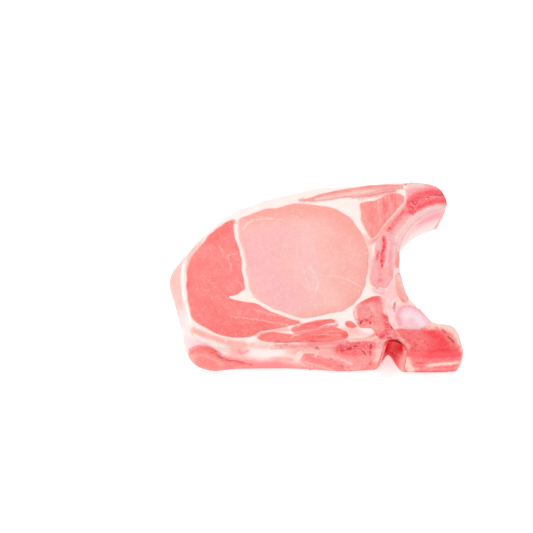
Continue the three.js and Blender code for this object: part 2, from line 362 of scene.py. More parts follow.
@functools.cache
def slice_outline(height):
    """Segments of the whole slice's outline at a height: those with no tissue just outside them."""
    segments = np.concatenate([cut(node, height) for node in TRIANGLES])
    along = segments[:, 1] - segments[:, 0]
    along /= np.linalg.norm(along, axis=1)[:, None] + 1e-12
    probe = segments.mean(1) + SEAM_PROBE * np.stack([along[:, 1], -along[:, 0]], axis=1)
    return segments[~inside(probe, segments)]


def outward(ring):
    """Unit normals of a ring, pointing away from the solid on its left."""
    along = np.roll(ring, -1, axis=0) - np.roll(ring, 1, axis=0)
    along /= np.linalg.norm(along, axis=1)[:, None] + 1e-12
    return np.stack([along[:, 1], -along[:, 0]], axis=1)


def facing_neighbour(ring, others):
    """1 where a ring's side faces another tissue, 0 where it is free, soft between."""
    probe = ring + SEAM_PROBE * outward(ring)
    near = (nearest(probe, others)[0] < FACING_REACH) | inside(probe, others)
    return blurred(near.astype(float), 3)


def grown(ring, seam, distance):
    """The ring with its seams grown outwards, and less where a seam ends at a free side or where it
    would fold a sharp corner over."""
    growth = distance * seam**4
    moved = ring + growth[:, None] * outward(ring)
    folded = nearest(moved, segments_of([ring]))[0] < FOLD_SHARE * growth
    growth *= 1 - blurred(np.where(blurred(folded.astype(float), 4) > 0, 1.0, 0.0), 3)
    return untied(ring + growth[:, None] * outward(ring))


def sheet(rings, spacing, edge_rows):
    """Points and triangles that fill closed rings: the rings, a few rows that follow them, and a
    staggered grid, joined by a Delaunay triangulation that keeps the rings as edges."""
    points = np.concatenate(rings)
    borders = segments_of(rings)
    low, high = points.min(0), points.max(0)
    rows = np.arange(low[1], high[1], spacing * math.sqrt(0.75))
    columns = np.arange(low[0], high[0], spacing)
    x, y = np.meshgrid(columns, rows)
    x[1::2] += 0.5 * spacing
    grid = np.stack([x.ravel(), y.ravel()], axis=1)
    grid = grid[inside(grid, borders)]
    away = nearest(grid, borders)[0]
    grid = grid[away > edge_rows[-1] + GRID_CLEARANCE * spacing]
    extra = [grid]
    for row in edge_rows:
        moved = np.concatenate([ring - row * outward(ring) for ring in rings])
        keep = inside(moved, borders) & (nearest(moved, borders)[0] > ROW_CLEARANCE * row)
        extra.append(moved[keep])
    inner = np.concatenate(extra)
    starts = np.cumsum([0] + [len(ring) for ring in rings])
    edges = np.concatenate([
        np.stack([np.arange(a, b), a + (np.arange(b - a) + 1) % (b - a)], axis=1)
        for a, b in zip(starts[:-1], starts[1:])
    ])
    everything = np.concatenate([points, inner])
    found = geometry.delaunay_2d_cdt(
        [Vector(place) for place in everything.tolist()], edges.tolist(), [], 0, 1e-5, False
    )
    faces = np.array(found[2])
    rim = np.flatnonzero((faces < len(points)).all(1))
    middle = everything[faces[rim]].mean(1)
    faces = np.delete(faces, rim[~inside(middle, borders)], axis=0)
    if len(found[0]) != len(everything):
        raise RuntimeError("the triangulation moved or merged points")
    a, b, c = (everything[faces[:, k]] for k in range(3))
    turned = np.cross(b - a, c - a) < 0
    faces[turned] = faces[turned][:, ::-1]
    return everything, faces


def edge_profile(away_free, away_seam, shoulder, width):
    """How far the surface is below its flat height: a quarter circle down to a free edge, and a short
    bell-shaped dip down to a seam."""
    short = EDGE_ROUND - np.minimum(away_free, EDGE_ROUND)
    rounding = EDGE_ROUND - np.sqrt(np.maximum(EDGE_ROUND**2 - short**2, 0))
    return rounding + shoulder * np.exp(-((away_seam / width) ** 2))


def away_from(points, ring, seam):
    """Distances to the free part and to the seam part of a ring."""
    borders = segments_of(ring)
    part = np.concatenate(seam)
    result = []
    for chosen in (part < 0.5, part >= 0.5):
        far = np.full(len(points), FAR)
        result.append(nearest(points, borders[chosen])[0] if chosen.any() else far)
    return result


def carried(ring, seam, node, heights):
    """The ring at each height, from the first down. Each point keeps its place beside the solid's cut
    as that changes with the height: on a free side it is the whole slice's cut, so a lump of meat in
    the wall leaves no hole in the rim. Seams are upright, but near the canal, which widens downwards,
    the whole ring follows the tissue's own cut. Where a seam reaches the rim, its last few mm go along
    with the rim: the share is e^-(d/DRAWN_ALONG)^2."""
    levels, place = [ring], ring.copy()
    leaning = nearest(ring, cut("canal_tissue", heights[0]))[0] < CANAL_REACH
    parts = {"free": np.flatnonzero((seam <= 0.5) & ~leaning), "leaning": np.flatnonzero(leaning)}
    hanging = np.flatnonzero((seam > 0.5) & ~leaning)
    away = np.linalg.norm(ring[hanging][:, None] - ring[parts["free"]], axis=2)
    follows = len(hanging) and len(parts["free"])
    beside = {}
    for height in heights:
        shift = np.zeros_like(place)
        for part, members in parts.items():
            target = cut(node, height) if part == "leaning" else slice_outline(height)
            gap = nearest(place[members], target)[1] - place[members]
            shift[members] = gap - beside.setdefault(part, gap)
        if follows:
            share = np.exp(-((away.min(1) / DRAWN_ALONG) ** 2))
            shift[hanging] = share[:, None] * shift[parts["free"][away.argmin(1)]]
        size = np.linalg.norm(shift, axis=1)[:, None]
        shift *= np.minimum(1, MOST_SHIFT / (size + 1e-9))
        place = untied(place + blurred(shift, SHIFT_BLUR))
        levels.append(place)
    return levels[:1] + levels[2:]  # at the first height nothing moves, so that level comes once


def untied(ring):
    """The ring with every small loop, where it crosses itself, pulled out straight."""
    for _ in range(UNTYING_ROUNDS):
        start, step = ring, np.roll(ring, -1, axis=0) - ring
        knots = []
        for apart in range(2, LONGEST_LOOP):
            other, other_step = np.roll(start, -apart, axis=0), np.roll(step, -apart, axis=0)
            turn = step[:, 0] * other_step[:, 1] - step[:, 1] * other_step[:, 0]
            turn = np.where(np.abs(turn) < 1e-12, 1e-12, turn)
            away = other - start
            here = (away[:, 0] * other_step[:, 1] - away[:, 1] * other_step[:, 0]) / turn
            there = (away[:, 0] * step[:, 1] - away[:, 1] * step[:, 0]) / turn
            crossed = (here > 0) & (here < 1) & (there > 0) & (there < 1)
            knots += [(first, apart) for first in np.flatnonzero(crossed)]
        if not knots:
            break
        ring = ring.copy()
        for first, apart in knots:
            inner = (first + 1 + np.arange(apart)) % len(ring)
            share = ((1 + np.arange(apart)) / (apart + 1))[:, None]
            ends = ring[first], ring[(first + apart + 1) % len(ring)]
            ring[inner] = ends[0] + share * (ends[1] - ends[0])
    return ring


print("rim levels", RIM_STEP, "mm apart")

# %% [markdown]
# The sides and both sheets share their ring points, so the piece is one closed skin. Its vertex
# normals then tell which way the unevenness pushes. Each kind of tissue has its own numbers: how high
# it stands, how much it swells towards its middle, and how wide and deep its shoulder is. A muscle
# relaxes into a low dome with a soft shoulder, and sawn bone is flat with a crisp one.

# %% Build one tissue
FORMS = {
    # height on the upper face, dome, its reach, shoulder depth and width, growth into gaps (all mm)
    "fat": (21.65, 0.0, 8, 0.0, 0.5, 0.9),
    "muscle": (22.0, 0.3, 7, 0.6, 0.5, 0.32),
    "bone": (21.95, 0.05, 4, 0.35, 0.4, 0.32),
    "cartilage": (21.95, 0.15, 4, 0.4, 0.5, 0.32),
}
SOFTENING = 8  # how often an outline is averaged
UNEVENNESS = (0.16, 0.05)  # mm, of the long and of the short waves
LOW_SHOULDER, LOW_SHOULDER_WIDTH = 0.35, 0.5  # mm, depth and width of a seam on the lower face
EDGE_ROWS, LOW_EDGE_ROWS = (0.15, 0.45, 0.9), (0.5,)  # mm from the edge, on the upper and lower sheet
SHOWN_SHARE = 0.04  # of a ring that is free where its side counts as showing
FADE = (0.3, 5.0)  # mm above the lower face, between which the unevenness sets in
COARSE_STEP = 5.0  # mm, between levels on a side that doesn't show
SEAM_WANDER = 0.55  # mm, how far seams wander to either side
HIDDEN_GROWTH = 0.45  # mm that a seam grows more below the surface, where it closes the gap


def rim_heights(seam):
    """Heights of the levels of one ring, close together where its side shows."""
    step = RIM_STEP if (seam < 0.5).mean() > SHOWN_SHARE else COARSE_STEP
    first = REFERENCE - RIM_STEP
    return np.append(REFERENCE, np.linspace(first, EDGE_ROUND, round((first - EDGE_ROUND) / step) + 1))


def wandering(ring, seam):
    """The ring with its seams moved sideways by a small wave. Both sides of a seam share the wave, so
    they stay together."""
    flat = np.column_stack([ring, np.full(len(ring), REFERENCE)])
    drift = np.stack([swell(flat, waves) for waves in SEAM_WAVES], axis=1)
    return untied(ring + SEAM_WANDER * seam[:, None] * drift)


def skin(node, form):
    """The closed skin of a tissue: its places, triangles and quads, and for every point how far it is
    from a seam, and whether it is on the upper sheet."""
    height, dome, dome_reach, shoulder, width, growth = FORMS[form]
    own, others = outline_cuts(node, REFERENCE)
    rings = [evened(ring, SPACING, SOFTENING) for ring in chained(own)]
    seams = [facing_neighbour(ring, others) for ring in rings]
    stacks = []
    heights = [rim_heights(seam) for seam in seams]
    for ring, seam, level_heights in zip(rings, seams, heights):
        levels = carried(wandering(ring, seam), seam, node, level_heights)
        growths = [growth] + [growth + HIDDEN_GROWTH] * (len(levels) - 2) + [growth]
        stacks.append([grown(level, seam, far) for level, far in zip(levels, growths)])
    sheets = []
    for end, spacing, rows in ((0, SPACING, EDGE_ROWS), (-1, LOW_SPACING, LOW_EDGE_ROWS)):
        edge = [stack[end] for stack in stacks]
        points, faces = sheet(edge, spacing, rows)
        free, seamed = away_from(points, edge, seams)
        if end == 0:
            bulge = dome * (1 - np.exp(-np.minimum(free, seamed) / dome_reach))
            level = height + bulge - edge_profile(free, seamed, shoulder, width)
        else:
            level = edge_profile(free, seamed, LOW_SHOULDER, LOW_SHOULDER_WIDTH)
        sheets.append((np.column_stack([points, level]), faces, seamed))
    return joined(stacks, heights, seams, sheets)


def joined(stacks, heights, seams, sheets):
    """One skin from the two sheets and the levels between them. Ring points come first in each sheet."""
    (upper, upper_faces, upper_seam), (lower, lower_faces, lower_seam) = sheets
    places, away, quads = [upper, lower], [upper_seam, lower_seam], []
    total, start = len(upper) + len(lower), 0
    for stack, level_heights, seam in zip(stacks, heights, seams):
        count = len(seam)
        members = np.arange(start, start + count)
        rows = [members]
        seamed = segments_of([stack[0]])[seam >= 0.5]
        beside = nearest(stack[0], seamed)[0] if len(seamed) else FAR
        for level, height in zip(stack[1:-1], level_heights[1:-1]):
            places.append(np.column_stack([level, np.full(count, height)]))
            away.append(np.broadcast_to(beside, count))
            rows.append(total + np.arange(count))
            total += count
        rows.append(len(upper) + members)
        for over, under in zip(rows[:-1], rows[1:]):
            quads.append(np.stack([np.roll(over, -1), over, under, np.roll(under, -1)], axis=1))
        start += count
    faces = np.concatenate([upper_faces, len(upper) + lower_faces[:, ::-1]])
    on_top = np.arange(total) < len(upper)
    return np.concatenate(places), faces, np.concatenate(quads), np.concatenate(away), on_top


def uneven(places, normals, rough):
    """Places pushed along their normals by the shared unevenness, which fades out towards the surface
    that the slice lies on, and by the marks of the saw where the surface is rough."""
    long, short = UNEVENNESS
    push = long * swell(places, SETTLING) + short * swell(places, PULLING) + rough * swell(places, SAWING)
    fade = smoothstep(places[:, 2], *FADE)
    return places + (push * fade)[:, None] * normals


# %% [markdown]
# The lining of the spinal canal is a thin crescent with its two tips on the wall. The outer curve from
# tip to tip faces the bones, and the inner one is free. At every height both are divided into the same
# number of steps, so columns of points run down the groove like the staves of a barrel.

# %% The canal's lining
STAVES = 96
LINING_HEIGHTS = np.concatenate([[21.9, 21.75, 21.5, 21.1], np.arange(20.5, 0.9, -0.6), [0.6, 0.3, 0.1]])
LINING_ROUND = 0.5  # mm, rounding of the groove's upper edge
LINING_GROWTH = 0.5  # mm that the lining grows into the gap behind it
LINING_SOFTENING = 24  # how often its curves are averaged
TIP_EASING = 0.3  # mm, keeps the rounding small where the two curves meet


def curve_between(points, count, softening):
    """Evenly spaced points on an open curve, softened by averaging each with its neighbours. The two
    ends stay where they are."""
    along = np.concatenate([[0], np.cumsum(np.linalg.norm(np.diff(points, axis=0), axis=1))])
    at = np.linspace(0, along[-1], count)
    curve = np.stack([np.interp(at, along, points[:, k]) for k in (0, 1)], axis=1)
    for _ in range(softening):
        curve[1:-1] = 0.5 * curve[1:-1] + 0.25 * (curve[:-2] + curve[2:])
    return curve


def crescent(height, growth):
    """The closed ring of the lining's cut: its outer curve from the right tip to the left one, grown
    into the gap, and back along the inner curve, drawn towards the outer one near the upper edge."""
    ring = chained(cut("canal_tissue", height))[0]
    ring = np.roll(ring, -ring[:, 0].argmax(), axis=0)
    left = ring[:, 0].argmin()
    outer = curve_between(ring[: left + 1], STAVES + 1, LINING_SOFTENING)
    inner = np.concatenate([ring[left:], ring[:1]])
    inner = curve_between(inner, STAVES + 1, LINING_SOFTENING)[::-1]
    along = np.gradient(outer, axis=0)
    along /= np.linalg.norm(along, axis=1)[:, None]
    short = LINING_ROUND - min(THICKNESS - height, LINING_ROUND)
    inward = LINING_ROUND - math.sqrt(LINING_ROUND**2 - short**2)
    towards = outer - inner
    towards /= np.linalg.norm(towards, axis=1)[:, None] + TIP_EASING
    inner = inner + inward * towards
    outer = outer + growth * np.stack([along[:, 1], -along[:, 0]], axis=1)
    return np.concatenate([outer, inner[-2:0:-1]])


def lining():
    """The closed skin of the canal's lining: its places, triangles and quads."""
    rings = [crescent(height, LINING_GROWTH) for height in LINING_HEIGHTS]
    count = len(rings[0])
    places = np.concatenate([
        np.column_stack([ring, np.full(count, height)]) for ring, height in zip(rings, LINING_HEIGHTS)
    ])
    rows = np.arange(len(places)).reshape(len(rings), count)
    quads = [
        np.stack([np.roll(over, -1), over, under, np.roll(under, -1)], axis=1)
        for over, under in zip(rows[:-1], rows[1:])
    ]
    staves = np.arange(1, STAVES - 1)
    triangles = []
    for row, upwards in ((rows[0], True), (rows[-1], False)):
        strip = row[np.stack([staves, staves + 1, count - staves - 1, count - staves], axis=1)]
        tips = row[np.array([[0, 1, count - 1], [STAVES - 1, STAVES, STAVES + 1]])]
        quads.append(strip if upwards else strip[:, ::-1])
        triangles.append(tips if upwards else tips[:, ::-1])
    return places, np.concatenate(triangles), np.concatenate(quads)


# %% [markdown]
# Where three tissues meet, their rounded corners leave a small opening. A flat drop of fat just below
# the surface closes each of them.

# %% Drops of fat
DROPS = [  # place, radius, mm
    (-49.2, 30.6, 2.4), (-3.6, 46.9, 2.6), (61.6, 58.4, 2.6), (31.3, -18.9, 3.2), (-21.3, -43.0, 2.2),
    (1.2, -42.0, 1.8),
]
DROP_TOP, DROP_HEIGHT = 21.58, 1.6  # mm
NO_SEAM = 9.0  # mm, the distance to a seam that points without one are given


def drop(x, y, radius, rows=7, columns=18):
    """A flat pill: its places, triangles and quads. Rows run from the upper pole to the lower, and are
    radius * sin(angle)^0.4 wide."""
    down = np.arange(1, rows) * math.pi / rows
    turn = np.arange(columns) * 2 * math.pi / columns
    wide = radius * np.sin(down)[:, None] ** 0.4
    height = DROP_TOP - 0.5 * DROP_HEIGHT * (1 - np.cos(down)[:, None])
    ball = np.stack([x + wide * np.cos(turn), y + wide * np.sin(turn), height + 0 * turn], axis=2)
    places = np.concatenate([[[x, y, DROP_TOP], [x, y, DROP_TOP - DROP_HEIGHT]], ball.reshape(-1, 3)])
    ring = np.arange(columns)
    after = np.roll(ring, -1)
    first, last = 2, 2 + (rows - 2) * columns
    caps = [np.stack([0 * ring, first + ring, first + after], axis=1)]
    caps.append(np.stack([0 * ring + 1, last + after, last + ring], axis=1))
    starts = 2 + columns * np.arange(rows - 2)[:, None]
    quads = np.stack([starts + ring, starts + columns + ring, starts + columns + after, starts + after], 2)
    return places, np.concatenate(caps), quads.reshape(-1, 4)


def with_drops(places, triangles, quads, seam, on_top):
    """The fat's skin and all its drops as one set of places and faces."""
    for where in DROPS:
        more, more_triangles, more_quads = drop(*where)
        triangles = np.concatenate([triangles, more_triangles + len(places)])
        quads = np.concatenate([quads, more_quads + len(places)])
        places = np.concatenate([places, more])
        seam = np.append(seam, np.full(len(more), NO_SEAM))
        on_top = np.append(on_top, np.zeros(len(more), bool))
    return places, triangles, quads, seam, on_top


# %% [markdown]
# Two bits of meat and a tendon show only on the sawn midline wall. Each is a lens that lies in the
# wall: a polar grid inside a smooth outline, bulging a little in front, buried behind, and sunk at its
# edge so that a crease runs round it. The wall itself is found from the cuts, looking along the wall's
# own normal.

# %% Lenses in the wall
WALL_STEP, WALL_MARGIN = 0.5, 3  # mm, between sight lines on the wall and beyond its ends
LENS_RIM = 0.9  # share of the way out from which a lens's front sinks
LENS_SINK, LENS_BACK = 0.3, 0.35  # mm behind the wall, at the front's edge and at the back's


def smooth_curve(points, closed=False, steps=8):
    """Points on the Catmull-Rom curve through some places: between two of them it is the cubic whose
    slopes there are half the step from the place before to the place after."""
    p = np.array(points, float)
    if len(p) < 3:
        share = np.linspace(0, 1, steps)[:, None]
        return p[0] + share * (p[-1] - p[0])
    around = [np.roll(p, shift, axis=0) for shift in (1, 0, -1, -2)]
    if not closed:
        padded = np.concatenate([p[:1], p, p[-1:]])
        around = [padded[k : k + len(p) - 1] for k in range(4)]
    t = (np.arange(steps) / steps)[None, :, None]
    a, b, c, d = (part[:, None] for part in around)
    curve = b + 0.5 * t * (c - a + t * (2 * a - 5 * b + 4 * c - d + t * (3 * (b - c) + d - a)))
    curve = curve.reshape(-1, p.shape[1])
    return curve if closed else np.concatenate([curve, p[-1:]])


WALL_HEIGHTS = np.linspace(1.0, 21.0, 11)
WALL_CUTS = [np.concatenate([cut(node, height) for node in TRIANGLES]) for height in WALL_HEIGHTS]


def wall_depth(along, up, turn):
    """How deep the wall lies at places on it, seen level along a normal that is turned from -Y. For
    every height it is the nearest crossing of a line of sight with the slice, smoothed along the wall,
    and heights between two cuts are mixed."""
    grid = np.arange(along.min() - WALL_MARGIN, along.max() + WALL_MARGIN, WALL_STEP)
    table = []
    for segments in WALL_CUTS:
        u = segments[..., 0] * math.cos(turn) + segments[..., 1] * math.sin(turn)
        v = segments[..., 1] * math.cos(turn) - segments[..., 0] * math.sin(turn)
        span = u[:, 1] - u[:, 0]
        share = (grid[:, None] - u[:, 0]) / np.where(np.abs(span) < 1e-6, 1e-6, span)
        depth = np.where((share >= 0) & (share <= 1), v[:, 0] + share * (v[:, 1] - v[:, 0]), FAR)
        nearest_depth = depth.min(1)
        window = np.stack([np.roll(nearest_depth, k) for k in (-2, -1, 0, 1, 2)])
        table.append(np.median(window, axis=0))
    table = np.array(table)
    column = np.clip((along - grid[0]) / WALL_STEP, 0, len(grid) - 1.001)
    row = np.clip((up - WALL_HEIGHTS[0]) / (WALL_HEIGHTS[1] - WALL_HEIGHTS[0]), 0, len(WALL_HEIGHTS) - 1.001)
    i, j = row.astype(int), column.astype(int)
    s, t = row - i, column - j
    low = table[i, j] * (1 - t) + table[i, j + 1] * t
    high = table[i + 1, j] * (1 - t) + table[i + 1, j + 1] * t
    return low * (1 - s) + high * s


def lens(outline, turn, proud, deep, rings=26, round_steps=14):
    """The closed skin of a lens in the wall. A place is a share r from its middle to its outline, and
    the front stands proud by a flat dome, proud * (1 - r^7), and sinks behind the wall at its rim."""
    edge = smooth_curve(outline, closed=True, steps=round_steps)
    middle = edge.mean(0)
    r = np.linspace(0, 1, rings + 1)[1:] ** 0.8
    flat = middle + r[:, None, None] * (edge - middle)
    flat = np.concatenate([middle[None], flat.reshape(-1, 2)])
    share = np.concatenate([[0], np.repeat(r, len(edge))])
    depth = wall_depth(flat[:, 0], flat[:, 1], turn)
    front = depth - proud * (1 - share**7) + LENS_SINK * smoothstep(share, LENS_RIM, 1.0)
    back = depth + LENS_BACK + deep * np.sqrt(np.maximum(1 - share**2, 0))
    both = [np.column_stack([flat[:, 0], value, flat[:, 1]]) for value in (front, back)]
    inner = len(flat) - len(edge)
    places = np.concatenate([both[0], both[1][:inner]])
    count = len(edge)
    around = np.arange(count)

    def grid_faces(number):
        """Triangles round the middle, and quads between one ring and the next."""
        ring = number(1 + around)
        fan = np.stack([np.full(count, number(np.array([0]))[0]), ring, np.roll(ring, -1)], axis=1)
        rows = [number(1 + k * count + around) for k in range(rings)]
        quads = [
            np.stack([a, b, np.roll(b, -1), np.roll(a, -1)], axis=1) for a, b in zip(rows[:-1], rows[1:])
        ]
        return fan, np.concatenate(quads)

    fan, quads = grid_faces(lambda index: index)
    back_fan, back_quads = grid_faces(lambda index: np.where(index < inner, index + len(flat), index))
    triangles = np.concatenate([fan, back_fan[:, ::-1]])
    quads = np.concatenate([quads, back_quads[:, ::-1]])
    x = places[:, 0] * math.cos(turn) - places[:, 1] * math.sin(turn)
    y = places[:, 0] * math.sin(turn) + places[:, 1] * math.cos(turn)
    places = np.column_stack([x, y, places[:, 2]])
    if (vertex_normals(places, triangles, quads)[0] @ [math.sin(turn), -math.cos(turn), 0]) < 0:
        triangles, quads = triangles[:, ::-1], quads[:, ::-1]
    return places, triangles, quads


# %% [markdown]
# Marbling, blood and stains are strokes: a soft line through a few places, with a width and a strength.
# The distance from every point of the skin to the line gives a number from 0 to 1, kept as a vertex
# attribute, and the material turns that number into colour. Before measuring, the places are nudged by
# a small wave, so that the line wanders as a real thread of fat does.

